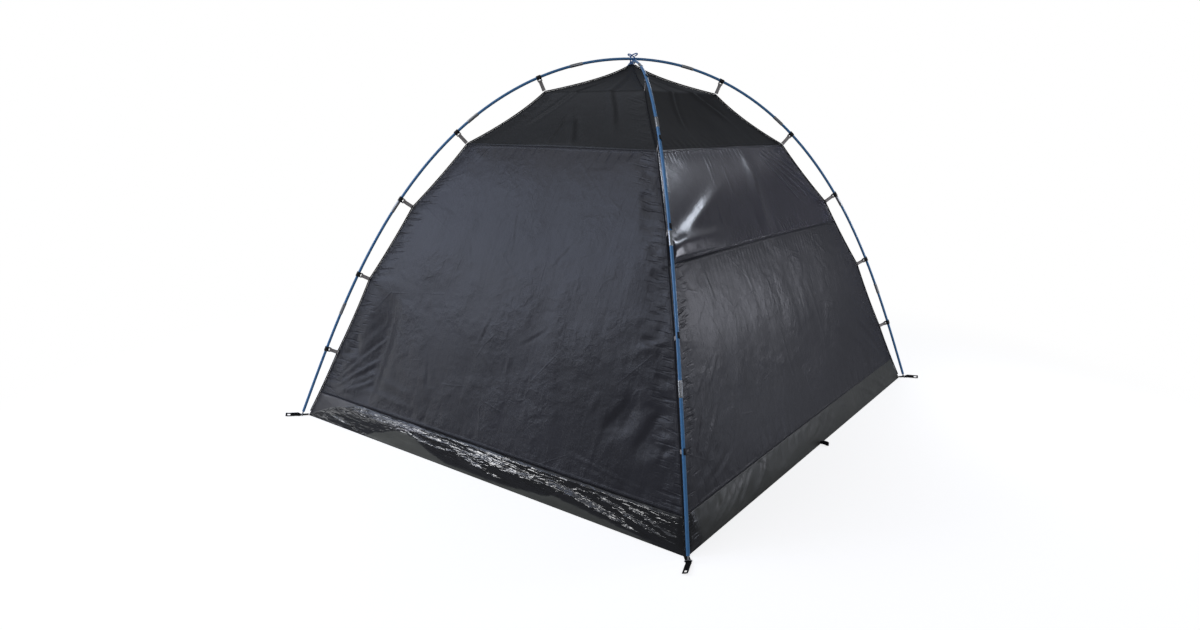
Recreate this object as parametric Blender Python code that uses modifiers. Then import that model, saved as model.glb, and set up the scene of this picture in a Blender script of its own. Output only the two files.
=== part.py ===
"""Family tent: a fabric inner tent hung by hooks under two crossing, bent fibreglass poles.

Metres, +Z up. The origin is the centre of the floor. The front faces -Y and the door is in the back, +Y.
"""
import math

import bmesh
import bpy
from mathutils import Matrix, Vector

# Poles
FOOT_SPAN_X = 2.14
FOOT_SPAN_Y = 2.40
CROSSING_HEIGHT = 1.675
FOOT_HEIGHT = 0.020
CROWN_BEND = 0.207
POLE_DIAMETER = 0.0127
RODS_PER_POLE = 9
ROD_SIDES = 8
ROD_STEP = 0.10
FERRULE_LENGTH = 0.060
FERRULE_WALL = 0.0009
SLIP_CLEARANCE = 0.0004
TOUCH_GAP = 0.0003

# Inner tent
HOOK_SHARES = (0.13667, 0.29693, 0.46247, 0.62761, 0.81472)
STRAP_REACHES = (0.053, 0.055, 0.063, 0.067, 0.065)
FLOOR_INSET = 0.024
TIP_DROP = 0.0235
TIP_RADIUS = 0.012
EDGE_SAGS = (0.003, 0.004, 0.004, 0.005, 0.014, 0.015)
WALL_DRAW_IN = 0.030
DRAW_IN_SHARES = (0.0, 0.40, 0.85, 1.0, 1.0, 0.5, 0.0)
TUB_HEIGHT = 0.115
VENT_SEAM_HEIGHT = 0.893
FABRIC_THICKNESS = 0.0015
SEAM_GAP = 0.0004

# Ridge tapes with their sewn hook straps
TAPE_WIDTH = 0.0055
TAPE_THICKNESS = 0.0016
TAPE_FOOT_HEIGHT = 0.020
TAPE_TOP_RADIUS = 0.004
STRAP_WIDTH = 0.015
STRAP_LOOP_WALL = 0.0015

# Hooks
HOOK_WIDTH = 0.020
HOOK_WALL = 0.0025
HOOK_CLEARANCE = 0.0008
HOOK_STEM_THICKNESS = 0.004
HOOK_EYE_HEIGHT = 0.0055
BAR_RADIUS = 0.0020
HOOK_LIP_TOP = 75.0
HOOK_LIP_BOTTOM = 280.0

# Feet
PIN_DIAMETER = 0.0060
PIN_LENGTH = 0.042
WIRE_DIAMETER = 0.0032
FOOT_STRAP_WIDTH = 0.020
FOOT_STRAP_THICKNESS = 0.0020
FOOT_STRAP_LENGTH = 0.106
FOOT_STRAP_KNEE = 0.036
FOOT_STRAP_SWINGS = {"front_left": -3.0, "front_right": -22.0, "back_right": -27.0, "back_left": -22.0}
PEG_HOLE_WIDTH = 0.011
PEG_HOLE_LENGTH = 0.020
PEG_HOLE_MARGIN = 0.006
SIDE_LOOP_WIDTH = 0.018
SIDE_LOOP_LENGTH = 0.040

# Door in the back wall
DOOR_WIDTH = 0.76
DOOR_SILL_HEIGHT = 0.170
DOOR_HEIGHT = 1.01
DOOR_ARC_STEPS = 14
ZIP_GAP = 0.0006
SLIDER_START_HEIGHT = 0.185
SLIDER_WIDTH = 0.010
SLIDER_LENGTH = 0.014
SLIDER_THICKNESS = 0.003
PULL_WIDTH = 0.006
PULL_LENGTH = 0.022

# Tie at the crossing
TIE_DIAMETER = 0.004
BOW_REACH = 0.034
BOW_RISE = 0.015
BOW_DEPTH = 0.007

# Mesh steps
ROWS_PER_SPAN = 3
CAP_ROWS_PER_SPAN = 4
WALL_COLUMNS = 10
CAP_COLUMNS = 6
TUB_COLUMNS = 4
RIDGE_STEPS = 4
EDGE_FALLOFF = 6
OVERRUN = 0.02

FOOT_RADIUS = math.hypot(FOOT_SPAN_X, FOOT_SPAN_Y) / 2
ALONG_X = FOOT_SPAN_X / 2 / FOOT_RADIUS
ALONG_Y = FOOT_SPAN_Y / 2 / FOOT_RADIUS
POLE_RADIUS = POLE_DIAMETER / 2
FERRULE_RADIUS = POLE_RADIUS + SLIP_CLEARANCE + FERRULE_WALL
HOOK_INNER = POLE_RADIUS + HOOK_CLEARANCE
HOOK_OUTER = HOOK_INNER + HOOK_WALL
BAR_TOP = BAR_RADIUS / 2
BAR_REACH = math.hypot(HOOK_STEM_THICKNESS / 2, BAR_TOP)
STRAP_LOOP_SIDES = 8
STRAP_LOOP_INNER = (BAR_REACH + SLIP_CLEARANCE) / math.cos(math.pi / STRAP_LOOP_SIDES)
STRAP_LOOP_OUTER = STRAP_LOOP_INNER + STRAP_LOOP_WALL
BAR_DROP = HOOK_OUTER + HOOK_EYE_HEIGHT + BAR_RADIUS
CORNERS = {
    "front_left": Vector((-ALONG_X, -ALONG_Y, 0)),
    "front_right": Vector((ALONG_X, -ALONG_Y, 0)),
    "back_right": Vector((ALONG_X, ALONG_Y, 0)),
    "back_left": Vector((-ALONG_X, ALONG_Y, 0)),
}
SIDES = ("front", "right", "back", "left")
MATERIALS = {
    "fibreglass": ("#3F86C8", 0.25, 0.0),
    "wall_polyester": ("#4B5058", 0.5, 0.0),
    "vent_polyester": ("#55535A", 0.35, 0.0),
    "cap_polyester": ("#2F3237", 0.5, 0.0),
    "groundsheet": ("#4A4B4A", 0.45, 0.0),
    "strap_webbing": ("#6E6A69", 0.8, 0.0),
    "foot_webbing": ("#1B1C1E", 0.8, 0.0),
    "hook_plastic": ("#15181B", 0.4, 0.0),
    "pin_steel": ("#C4C6C6", 0.3, 1.0),
    "tie_cord": ("#2F6FAE", 0.6, 0.0),
    "slider_metal": ("#2A2C2E", 0.35, 1.0),
}


def linear(hex_colour):
    values = [int(hex_colour[i:i + 2], 16) / 255 for i in (1, 3, 5)]
    return [v / 12.92 if v <= 0.04045 else ((v + 0.055) / 1.055) ** 2.4 for v in values]


def make_material(name):
    colour, roughness, metallic = MATERIALS[name]
    material = bpy.data.materials.new(name)
    material.use_nodes = True
    shader = material.node_tree.nodes["Principled BSDF"]
    shader.inputs["Base Color"].default_value = (*linear(colour), 1)
    shader.inputs["Roughness"].default_value = roughness
    shader.inputs["Metallic"].default_value = metallic
    return material


def new_collection(name):
    collection = bpy.data.collections.new(name)
    bpy.context.scene.collection.children.link(collection)
    return collection


for old in list(bpy.data.objects):
    bpy.data.objects.remove(old)
PARTS = new_collection("family_tent")
CUTTERS = new_collection("cutters")
FINISHES = {name: make_material(name) for name in MATERIALS}


def add_part(name, mesh, finish, matrix=None, parent=None):
    """Links one sub-part, placed by its matrix, under its empty if it has one."""
    part = bpy.data.objects.new(name, mesh)
    PARTS.objects.link(part)
    if not mesh.materials:
        mesh.materials.append(FINISHES[finish])
    part.matrix_world = matrix if matrix is not None else Matrix()
    if parent is not None:
        part.parent = parent
        part.matrix_parent_inverse = parent.matrix_world.inverted()
    return part


def add_cutter(name, mesh, matrix=None):
    cutter = bpy.data.objects.new(name, mesh)
    CUTTERS.objects.link(cutter)
    cutter.hide_render = True
    cutter.display_type = "WIRE"
    cutter.matrix_world = matrix if matrix is not None else Matrix()
    return cutter


def add_axis(name, matrix):
    """An empty on a joint's axis: its X axis is the axis of the joint."""
    empty = bpy.data.objects.new(name, None)
    PARTS.objects.link(empty)
    empty.empty_display_size = 0.05
    empty.matrix_world = matrix
    return empty


def evaluated_mesh(thing):
    """The mesh of an object with its modifiers or curve bevel worked out, its doubles merged."""
    bpy.context.view_layer.update()
    graph = bpy.context.evaluated_depsgraph_get()
    mesh = bpy.data.meshes.new_from_object(thing.evaluated_get(graph))
    work = bmesh.new()
    work.from_mesh(mesh)
    bmesh.ops.remove_doubles(work, verts=work.verts, dist=1e-6)
    work.to_mesh(mesh)
    work.free()
    return mesh


def settle(thing):
    """Replaces a working object by its evaluated mesh."""
    mesh = evaluated_mesh(thing)
    bpy.data.objects.remove(thing)
    return mesh


def working_object(mesh_or_curve):
    thing = bpy.data.objects.new("work", mesh_or_curve)
    bpy.context.scene.collection.objects.link(thing)
    return thing


def smooth(mesh, degrees=35):
    mesh.shade_smooth()
    mesh.set_sharp_from_angle(angle=math.radians(degrees))
    return mesh


def turned(profile, sides):
    """A solid turned round Z from (radius, height) points, listed down its outer side."""
    mesh = bpy.data.meshes.new("turned")
    points = [(radius, 0, height) for radius, height in profile]
    edges = [(i, i + 1) for i in range(len(points) - 1)]
    mesh.from_pydata(points, edges, [])
    thing = working_object(mesh)
    screw = thing.modifiers.new("screw", "SCREW")
    screw.steps = sides
    screw.render_steps = sides
    screw.use_merge_vertices = True
    screw.merge_threshold = 0.00001
    return settle(thing)


def flat_outline(loops, thickness):
    """A flat solid in the XY plane, half its thickness each side, from closed loops of (x, y) points."""
    curve = bpy.data.curves.new("outline", "CURVE")
    curve.dimensions = "2D"
    curve.fill_mode = "BOTH"
    curve.extrude = thickness / 2
    for loop in loops:
        spline = curve.splines.new("POLY")
        spline.points.add(len(loop) - 1)
        for point, (x, y) in zip(spline.points, loop):
            point.co = (x, y, 0, 1)
        spline.use_cyclic_u = True
    return settle(working_object(curve))


def tube(points, diameter, cyclic=False, resolution=1):
    curve = bpy.data.curves.new("tube", "CURVE")
    curve.dimensions = "3D"
    curve.bevel_depth = diameter / 2
    curve.bevel_resolution = resolution
    curve.use_fill_caps = True
    spline = curve.splines.new("POLY")
    spline.points.add(len(points) - 1)
    for point, place in zip(spline.points, points):
        point.co = (*place, 1)
    spline.use_cyclic_u = cyclic
    return settle(working_object(curve))


def box_mesh(size, centre=(0, 0, 0)):
    mesh = bpy.data.meshes.new("box")
    work = bmesh.new()
    bmesh.ops.create_cube(work, size=1)
    bmesh.ops.scale(work, vec=size, verts=work.verts)
    bmesh.ops.translate(work, vec=centre, verts=work.verts)
    work.to_mesh(mesh)
    work.free()
    return mesh


def boolean(thing, cutter, operation):
    change = thing.modifiers.new(operation.lower(), "BOOLEAN")
    change.operation = operation
    change.object = cutter
    return thing


def frame_matrix(place, x_axis, y_axis, z_axis):
    matrix = Matrix((x_axis, y_axis, z_axis)).transposed().to_4x4()
    matrix.translation = place
    return matrix


class Arch:
    """Half of a straight elastic rod, bent into an arch and held at two feet.

    Its curvature grows with its height above the feet, as in any thin rod that is pushed at its ends, and
    CROWN_BEND adds what the hanging tent pulls it further round towards the crown. The half runs from the
    foot, at height 0 and distance half_span, to the crown, at distance 0.
    """

    STEPS = 400

    def __init__(self, half_span, rise):
        self.rise = rise
        low, high = 0.05, 0.95
        for _ in range(60):
            middle = (low + high) / 2
            if self.reach(middle) > half_span:
                low = middle
            else:
                high = middle
        self.modulus = (low + high) / 2
        self.table = self.walk(self.modulus, half_span)
        self.length = self.table[-1][0]

    def step(self, modulus, phase):
        crown = math.sqrt(1 + CROWN_BEND * math.sin(phase) ** 2)
        bend = modulus * math.cos(phase) * crown
        run = self.rise / (2 * modulus * crown * math.sqrt(1 - bend * bend)) * (math.pi / 2 / self.STEPS)
        return run, 2 * math.asin(bend)

    def reach(self, modulus):
        total = 0.0
        for index in range(self.STEPS):
            run, slope = self.step(modulus, (index + 0.5) * math.pi / 2 / self.STEPS)
            total += run * math.cos(slope)
        return total

    def walk(self, modulus, half_span):
        """Rows of (length from the foot, distance from the centre, height above the foot, slope)."""
        length = 0.0
        distance = half_span
        rows = [(length, distance, 0.0, self.step(modulus, 0.0)[1])]
        for index in range(self.STEPS):
            run, slope = self.step(modulus, (index + 0.5) * math.pi / 2 / self.STEPS)
            length += run
            distance -= run * math.cos(slope)
            end = (index + 1) * math.pi / 2 / self.STEPS
            rows.append((length, distance, self.rise * math.sin(end), self.step(modulus, end)[1]))
        return rows

    def look_up(self, column, value):
        for before, after in zip(self.table, self.table[1:]):
            if value <= after[column]:
                share = (value - before[column]) / (after[column] - before[column])
                return [a + (b - a) * share for a, b in zip(before, after)]
        return list(self.table[-1])


LIFT = POLE_RADIUS + TOUCH_GAP / 2
RISE = CROSSING_HEIGHT - FOOT_HEIGHT
MEAN_ARCH = Arch(FOOT_RADIUS, RISE)
POLES = {
    "a": (Arch(FOOT_RADIUS, RISE + LIFT), "front_left", "back_right"),
    "b": (Arch(FOOT_RADIUS, RISE - LIFT), "front_right", "back_left"),
}
POLE_OF_CORNER = {corner: pole for pole, (_, *corners) in POLES.items() for corner in corners}


def hook_rows():
    """For each hook: (its length up the pole from the foot, the fabric point's distance and height)."""
    rows = []
    for share, reach in zip(HOOK_SHARES, STRAP_REACHES):
        length = share * MEAN_ARCH.length
        _, distance, above, slope = MEAN_ARCH.look_up(0, length)
        height = above + FOOT_HEIGHT - reach * math.cos(slope)
        rows.append((length, distance - reach * math.sin(slope), height))
    return rows


HOOK_ROWS = hook_rows()
FLOOR_RADIUS = FOOT_RADIUS - FLOOR_INSET
TIP_HEIGHT = CROSSING_HEIGHT - TIP_DROP
RIDGE = [(FLOOR_RADIUS, 0.0)] + [row[1:] for row in HOOK_ROWS] + [(TIP_RADIUS, TIP_HEIGHT)]
CAP_SEAM_HEIGHT = RIDGE[4][1]


def ridge_span(height):
    """The ridge span that a height lies in, and how far up it, from 0 to 1."""
    for index in range(len(RIDGE) - 1):
        low, high = RIDGE[index][1], RIDGE[index + 1][1]
        if height <= high or index == len(RIDGE) - 2:
            return index, (height - low) / (high - low)


def ridge_radius(height):
    """The fabric's edge under a pole: straight from strap to strap, drawn in a little between them."""
    index, share = ridge_span(height)
    (r0, z0), (r1, z1) = RIDGE[index], RIDGE[index + 1]
    steepness = (z1 - z0) / math.hypot(r1 - r0, z1 - z0)
    sag = EDGE_SAGS[index] / steepness * 4 * share * (1 - share) if 0 < share < 1 else 0
    return r0 + (r1 - r0) * share - sag


def ridge_slopes():
    """Change of radius with height at each ridge point, with the lowest span kept straight."""
    chords = [(b[0] - a[0]) / (b[1] - a[1]) for a, b in zip(RIDGE, RIDGE[1:])]
    slopes = [chords[0], chords[0]]
    slopes += [(before + after) / 2 for before, after in zip(chords[1:], chords[2:])]
    return slopes + [chords[-1]]


RIDGE_SLOPES = ridge_slopes()


def middle_radius(height):
    """The smooth line through the strap points, which the middle of a wall follows."""
    index, share = ridge_span(height)
    (r0, z0), (r1, z1) = RIDGE[index], RIDGE[index + 1]
    s0, s1 = RIDGE_SLOPES[index] * (z1 - z0), RIDGE_SLOPES[index + 1] * (z1 - z0)
    if not 0 <= share <= 1:
        return r0 + (r1 - r0) * share
    square, cube = share ** 2, share ** 3
    return (r0 * (2 * cube - 3 * square + 1) + s0 * (cube - 2 * square + share)
            + r1 * (3 * square - 2 * cube) + s1 * (cube - square))


def draw_in(height):
    index, share = ridge_span(height)
    share = min(max(share, 0), 1)
    a, b = DRAW_IN_SHARES[index], DRAW_IN_SHARES[index + 1]
    return WALL_DRAW_IN * (a + (b - a) * share)


def side_point(side, across, height):
    """A point on the outside of a wall. across runs from -1 to 1, anticlockwise from above."""
    edge = ridge_radius(height)
    middle = edge if height > CAP_SEAM_HEIGHT else middle_radius(height)
    distance = middle + (edge - middle) * abs(across) ** EDGE_FALLOFF
    inward = draw_in(height) * (1 - across ** 2)
    if side in ("front", "back"):
        point = Vector((edge * ALONG_X * across, -distance * ALONG_Y + inward, height))
    else:
        point = Vector((distance * ALONG_X - inward, edge * ALONG_Y * across, height))
    if side in ("back", "left"):
        point.x, point.y = -point.x, -point.y
    return point


def heights_between(low, high, steps):
    """Row heights that hit every strap point between low and high."""
    stops = [low] + [z for _, z in RIDGE if low + 0.001 < z < high - 0.001] + [high]
    rows = []
    for a, b in zip(stops, stops[1:]):
        rows += [a + (b - a) * i / steps for i in range(steps)]
    return rows + [high]


def skin(work, outside):
    """Gives an open sheet its thickness, inwards from the outer face."""
    bmesh.ops.recalc_face_normals(work, faces=work.faces)
    work.faces.ensure_lookup_table()
    face = max(work.faces, key=lambda f: f.calc_area())
    if face.normal.dot(outside(face.calc_center_median())) < 0:
        bmesh.ops.reverse_faces(work, faces=work.faces)
    mesh = bpy.data.meshes.new("skin")
    work.to_mesh(mesh)
    work.free()
    thing = working_object(mesh)
    solidify = thing.modifiers.new("thickness", "SOLIDIFY")
    solidify.thickness = FABRIC_THICKNESS
    solidify.offset = -1
    solidify.use_even_offset = True
    return settle(thing)


def trimmed(mesh, planes, ring=False):
    """Cuts away what lies beyond each plane, given as (point, normal), and closes the cut edge."""
    work = bmesh.new()
    work.from_mesh(mesh)
    for place, normal in planes:
        geometry = work.verts[:] + work.edges[:] + work.faces[:]
        bmesh.ops.bisect_plane(
            work, geom=geometry, dist=1e-6, plane_co=place, plane_no=normal, clear_outer=True)
        rim = [edge for edge in work.edges if edge.is_boundary]
        if ring:
            bmesh.ops.bridge_loops(work, edges=rim)
        else:
            bmesh.ops.holes_fill(work, edges=rim, sides=0)
    bmesh.ops.recalc_face_normals(work, faces=work.faces)
    work.to_mesh(mesh)
    work.free()
    return smooth(mesh)


def level_cuts(low, high):
    """Planes that end a sheet half a seam gap inside two heights."""
    return [
        (Vector((0, 0, low + SEAM_GAP / 2)), Vector((0, 0, -1))),
        (Vector((0, 0, high - SEAM_GAP / 2)), Vector((0, 0, 1))),
    ]


def wall_mesh(side, low, high):
    """One wall between two heights, mitred to its neighbours along the diagonals."""
    rows = heights_between(low, high, ROWS_PER_SPAN)
    rows = [low - OVERRUN / 4] + rows + [high + OVERRUN / 4]
    columns = [-1 - OVERRUN] + [-1 + 2 * i / WALL_COLUMNS for i in range(WALL_COLUMNS + 1)] + [1 + OVERRUN]
    work = bmesh.new()
    grid = [[work.verts.new(side_point(side, across, height)) for across in columns] for height in rows]
    for lower, upper in zip(grid, grid[1:]):
        for i in range(len(columns) - 1):
            work.faces.new((lower[i], lower[i + 1], upper[i + 1], upper[i]))
    outward = (side_point(side, 0, low) * Vector((1, 1, 0))).normalized()
    mesh = skin(work, lambda place: outward)
    cuts = level_cuts(low, high)
    for across in (-1, 1):
        corner = (side_point(side, across, low) * Vector((1, 1, 0))).normalized()
        normal = Vector((-corner.y, corner.x, 0)) * across
        cuts.append((normal * -SEAM_GAP / 2, normal))
    return trimmed(mesh, cuts)


def ring_of_points(work, height, columns):
    points = []
    for side in SIDES:
        points += [side_point(side, -1 + 2 * i / columns, height) for i in range(columns)]
    return [work.verts.new(point) for point in points]


def join_rings(work, rings):
    for lower, upper in zip(rings, rings[1:]):
        for i in range(len(lower)):
            j = (i + 1) % len(lower)
            work.faces.new((lower[i], lower[j], upper[j], upper[i]))


def away_from_axis(place):
    return Vector((place.x, place.y, 0.01))


def add_cap():
    """The dark roof cap: four gores that meet at the tip."""
    work = bmesh.new()
    rows = heights_between(CAP_SEAM_HEIGHT, TIP_HEIGHT, CAP_ROWS_PER_SPAN)
    rows = [CAP_SEAM_HEIGHT - OVERRUN / 4] + rows
    rings = [ring_of_points(work, height, CAP_COLUMNS) for height in rows]
    join_rings(work, rings)
    work.faces.new(rings[-1])
    mesh = skin(work, away_from_axis)
    seam_cut = level_cuts(CAP_SEAM_HEIGHT, CROSSING_HEIGHT)[:1]
    add_part("roof_cap", trimmed(mesh, seam_cut, ring=True), "cap_polyester")


def add_tub():
    """The groundsheet: a floor with low walls, open at the top."""
    work = bmesh.new()
    heights = (0, TUB_HEIGHT / 2, TUB_HEIGHT + OVERRUN / 4)
    rings = [ring_of_points(work, height, TUB_COLUMNS) for height in heights]
    join_rings(work, rings)
    work.faces.new(reversed(rings[0]))
    mesh = skin(work, lambda place: away_from_axis(place) if place.z > 0 else Vector((0, 0, -1)))
    add_part("tub_floor", trimmed(mesh, level_cuts(0, TUB_HEIGHT)[1:], ring=True), "groundsheet")


def add_walls():
    add_part("wall_front", wall_mesh("front", TUB_HEIGHT, CAP_SEAM_HEIGHT), "wall_polyester")
    add_part("wall_left", wall_mesh("left", TUB_HEIGHT, CAP_SEAM_HEIGHT), "wall_polyester")
    add_part("wall_right", wall_mesh("right", TUB_HEIGHT, VENT_SEAM_HEIGHT), "wall_polyester")
    add_part("vent_panel_right", wall_mesh("right", VENT_SEAM_HEIGHT, CAP_SEAM_HEIGHT), "vent_polyester")


def door_outline(inset):
    """The doorway seen from behind: a sill, straight sides and a round head, in (x, z)."""
    half = DOOR_WIDTH / 2 - inset
    spring = DOOR_SILL_HEIGHT + DOOR_HEIGHT - DOOR_WIDTH / 2
    points = [(-half, DOOR_SILL_HEIGHT + inset), (half, DOOR_SILL_HEIGHT + inset)]
    for step in range(DOOR_ARC_STEPS + 1):
        angle = math.pi * step / DOOR_ARC_STEPS
        points.append((half * math.cos(angle), spring + half * math.sin(angle)))
    return points


def door_cutter(name, inset):
    mesh = flat_outline([door_outline(inset)], FOOT_SPAN_Y / 2)
    upright = Matrix.Translation((0, FOOT_SPAN_Y / 2, 0)) @ Matrix.Rotation(math.pi / 2, 4, "X")
    return add_cutter(name, mesh, upright)


def add_door():
    """The back wall with its doorway, the flap that hinges on the sill, and the zip slider on the flap."""
    wall = add_part("wall_back", wall_mesh("back", TUB_HEIGHT, CAP_SEAM_HEIGHT), "wall_polyester")
    boolean(wall, door_cutter("doorway_cutter", 0), "DIFFERENCE")
    hinge = Vector((0, door_face(DOOR_SILL_HEIGHT + ZIP_GAP), DOOR_SILL_HEIGHT + ZIP_GAP))
    axis = add_axis("door_hinge_axis", Matrix.Translation(hinge))
    flap = wall_mesh("back", TUB_HEIGHT, CAP_SEAM_HEIGHT)
    flap.transform(Matrix.Translation(-hinge))
    flap = add_part("door_flap", flap, "wall_polyester", Matrix.Translation(hinge), axis)
    boolean(flap, door_cutter("flap_cutter", ZIP_GAP), "INTERSECT")
    add_slider(axis)


def door_face(height, x=None):
    """The Y of the back wall's outer face at a height, at the edge of the door unless an X is given."""
    x = DOOR_WIDTH / 2 if x is None else x
    across = x / (ridge_radius(height) * ALONG_X)
    return side_point("back", across, height).y


def add_slider(axis):
    """The zip slider and its pull, at the low end of the straight side of the zip."""
    x = DOOR_WIDTH / 2 - ZIP_GAP / 2
    low, high = SLIDER_START_HEIGHT, RIDGE[1][1]
    start = Vector((x, door_face(low, x), low))
    up = (Vector((x, door_face(high, x), high)) - start).normalized()
    out = Vector((1, 0, 0)).cross(up)
    out = out if out.y > 0 else -out
    half, neck = SLIDER_WIDTH / 2, PULL_WIDTH / 2
    outline = [
        (-half, SLIDER_LENGTH), (-half, 0.25 * SLIDER_LENGTH), (-neck, 0), (-neck, -PULL_LENGTH),
        (neck, -PULL_LENGTH), (neck, 0), (half, 0.25 * SLIDER_LENGTH), (half, SLIDER_LENGTH),
    ]
    mesh = flat_outline([outline], SLIDER_THICKNESS)
    place = start + out * (SLIDER_THICKNESS / 2 + TOUCH_GAP) + up * PULL_LENGTH
    add_part("zip_slider", mesh, "slider_metal", frame_matrix(place, up.cross(out), up, out), axis)


def pole_frame(pole, length):
    """A point on a pole's centre line, and its side, outward and along directions, from its first foot."""
    arch, first, last = POLES[pole]
    half = arch.length
    corner = CORNERS[first] if length <= half else CORNERS[last]
    _, distance, height, slope = arch.look_up(0, min(length, 2 * half - length))
    slope = slope if length <= half else -slope
    place = corner * distance + Vector((0, 0, height + FOOT_HEIGHT))
    forward = -CORNERS[first]
    along = forward * math.cos(slope) + Vector((0, 0, math.sin(slope)))
    outward = Vector((0, 0, math.cos(slope))) - forward * math.sin(slope)
    return place, outward.cross(along), outward, along


def rod_rings(pole, start, stop, near):
    """Where a rod is bent: at its socket's end, each hook and the crossing, and between them."""
    total = 2 * POLES[pole][0].length
    marks = [row[0] for row in HOOK_ROWS]
    marks += [total - mark for mark in marks] + [total / 2]
    marks += [near + FERRULE_LENGTH / 2, start, stop]
    marks = sorted(mark for mark in marks if start <= mark <= stop)
    rings = []
    for a, b in zip(marks, marks[1:]):
        steps = max(1, round((b - a) / ROD_STEP))
        rings += [a + (b - a) * i / steps for i in range(steps)]
    return [ring for ring in reversed(rings) if start + 0.001 < ring < stop - 0.001]


def rod_profile(pole, index, length):
    """A rod as (radius, distance along) points, from its far end back to its near end."""
    near, far = index * length, (index + 1) * length
    bore = PIN_DIAMETER / 2 + SLIP_CLEARANCE
    if index < RODS_PER_POLE - 1:
        socket = POLE_RADIUS + SLIP_CLEARANCE
        stop = far - FERRULE_LENGTH / 2
        top = [
            (0, far), (socket, far), (socket, far + FERRULE_LENGTH / 2),
            (FERRULE_RADIUS, far + FERRULE_LENGTH / 2), (FERRULE_RADIUS, far), (FERRULE_RADIUS, stop),
            (POLE_RADIUS, stop),
        ]
    else:
        top = [(0, far - PIN_LENGTH), (bore, far - PIN_LENGTH), (bore, far), (POLE_RADIUS, far)]
        stop = far
    if index:
        start = near + TOUCH_GAP
        bottom = [(POLE_RADIUS, start), (0, start)]
    else:
        start = near
        bottom = [(POLE_RADIUS, start), (bore, start), (bore, start + PIN_LENGTH), (0, start + PIN_LENGTH)]
    rings = [(POLE_RADIUS, height) for height in rod_rings(pole, start, stop, near)]
    return top + rings + bottom


def add_rods(pole):
    length = 2 * POLES[pole][0].length / RODS_PER_POLE
    for index in range(RODS_PER_POLE):
        mesh = turned(rod_profile(pole, index, length), ROD_SIDES)
        for vertex in mesh.vertices:
            place, side, outward, _ = pole_frame(pole, vertex.co.z)
            vertex.co = place + side * vertex.co.x + outward * vertex.co.y
        add_part(f"pole_{pole}_rod_{index + 1}", smooth(mesh, 50), "fibreglass")


def hook_frame(corner, row):
    """The bar of one hook: its place, and its side, outward and along directions."""
    pole = POLE_OF_CORNER[corner]
    length = HOOK_ROWS[row][0]
    if POLES[pole][1] != corner:
        length = 2 * POLES[pole][0].length - length
    place, side, outward, along = pole_frame(pole, length)
    return place - outward * BAR_DROP, side, outward, along


def hook_mesh():
    """A plastic hook seen along its pole, open to one side, with an eye and a bar for its strap."""
    centre = BAR_DROP
    steps = 12
    start, stop = math.radians(HOOK_LIP_TOP), math.radians(HOOK_LIP_BOTTOM)
    angles = [start + (stop - start) * i / steps for i in range(steps + 1)]
    inner = [(HOOK_INNER * math.cos(a), centre + HOOK_INNER * math.sin(a)) for a in angles]
    half = HOOK_STEM_THICKNESS / 2
    join = math.asin(half / HOOK_OUTER)
    low = math.radians(270)
    outer_angles = [a for a in reversed(angles) if a > low + join + 0.1] + [low + join]
    left = [low - join] + [a for a in reversed(angles) if a < low - join - 0.1]
    outer = [(HOOK_OUTER * math.cos(a), centre + HOOK_OUTER * math.sin(a)) for a in outer_angles]
    stem = [(half, 0), (half * 0.7, -half * 0.7), (0, -half), (-half * 0.7, -half * 0.7), (-half, 0)]
    outer += stem + [(HOOK_OUTER * math.cos(a), centre + HOOK_OUTER * math.sin(a)) for a in left]
    hook = working_object(flat_outline([inner + outer], HOOK_WIDTH))
    eye_width = STRAP_WIDTH + 2 * SLIP_CLEARANCE
    eye_top = BAR_DROP - HOOK_OUTER
    eye = box_mesh((HOOK_WIDTH, eye_top - BAR_TOP, eye_width), (0, (eye_top + BAR_TOP) / 2, 0))
    boolean(hook, add_cutter("hook_eye_cutter", eye), "DIFFERENCE")
    return smooth(settle(hook))


def add_hooks():
    mesh = hook_mesh()
    for corner in CORNERS:
        for row in range(len(HOOK_ROWS)):
            place, side, outward, along = hook_frame(corner, row)
            matrix = frame_matrix(place, side, outward, along)
            add_part(f"hook_{corner}_{row + 1}", mesh, "hook_plastic", matrix)


def ridge_path(low):
    """The fabric's edge from a height up to the tip, as (distance, height) points."""
    heights = heights_between(low, TIP_HEIGHT, RIDGE_STEPS)
    return [(ridge_radius(height), height) for height in heights]


def shifted(path, offset):
    """A path moved square to itself, outwards and up."""
    moved = []
    for index, (r, z) in enumerate(path):
        r0, z0 = path[max(index - 1, 0)]
        r1, z1 = path[min(index + 1, len(path) - 1)]
        size = math.hypot(r1 - r0, z1 - z0)
        moved.append((r + (z1 - z0) / size * offset, z - (r1 - r0) / size * offset))
    return moved


def tape_outline(corner):
    """Half a ridge tape with its five straps, in (distance, height), up its inner edge and back down."""
    path = ridge_path(TAPE_FOOT_HEIGHT)
    inner = shifted(path, TOUCH_GAP + FABRIC_THICKNESS / 4)
    outer = shifted(path, TAPE_WIDTH)
    outline = []
    direction = CORNERS[corner]
    bars = {}
    for row, (_, _, strap_height) in enumerate(HOOK_ROWS):
        place, _, _, along = hook_frame(corner, row)
        bars[strap_height] = (place.dot(direction), place.z), (along.dot(direction), along.z)
    for (_, height), point in reversed(list(zip(path, outer))):
        if height in bars:
            outline += strap_corners(point, *bars[height])
        else:
            outline.append(point)
    return inner + [(TAPE_TOP_RADIUS, inner[-1][1]), (TAPE_TOP_RADIUS, outline[0][1])] + outline


def strap_corners(root, bar, along):
    """A strap's four corners, from the tape out to its loop and back, coming down the ridge."""
    up = Vector(along) if along[1] > 0 else -Vector(along)
    root, bar = Vector(root), Vector(bar)
    half = up * STRAP_WIDTH / 2
    end = bar + (root - bar).normalized() * (STRAP_LOOP_INNER + STRAP_LOOP_WALL / 2)
    return [tuple(root + half), tuple(end + half), tuple(end - half), tuple(root - half)]


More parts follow.
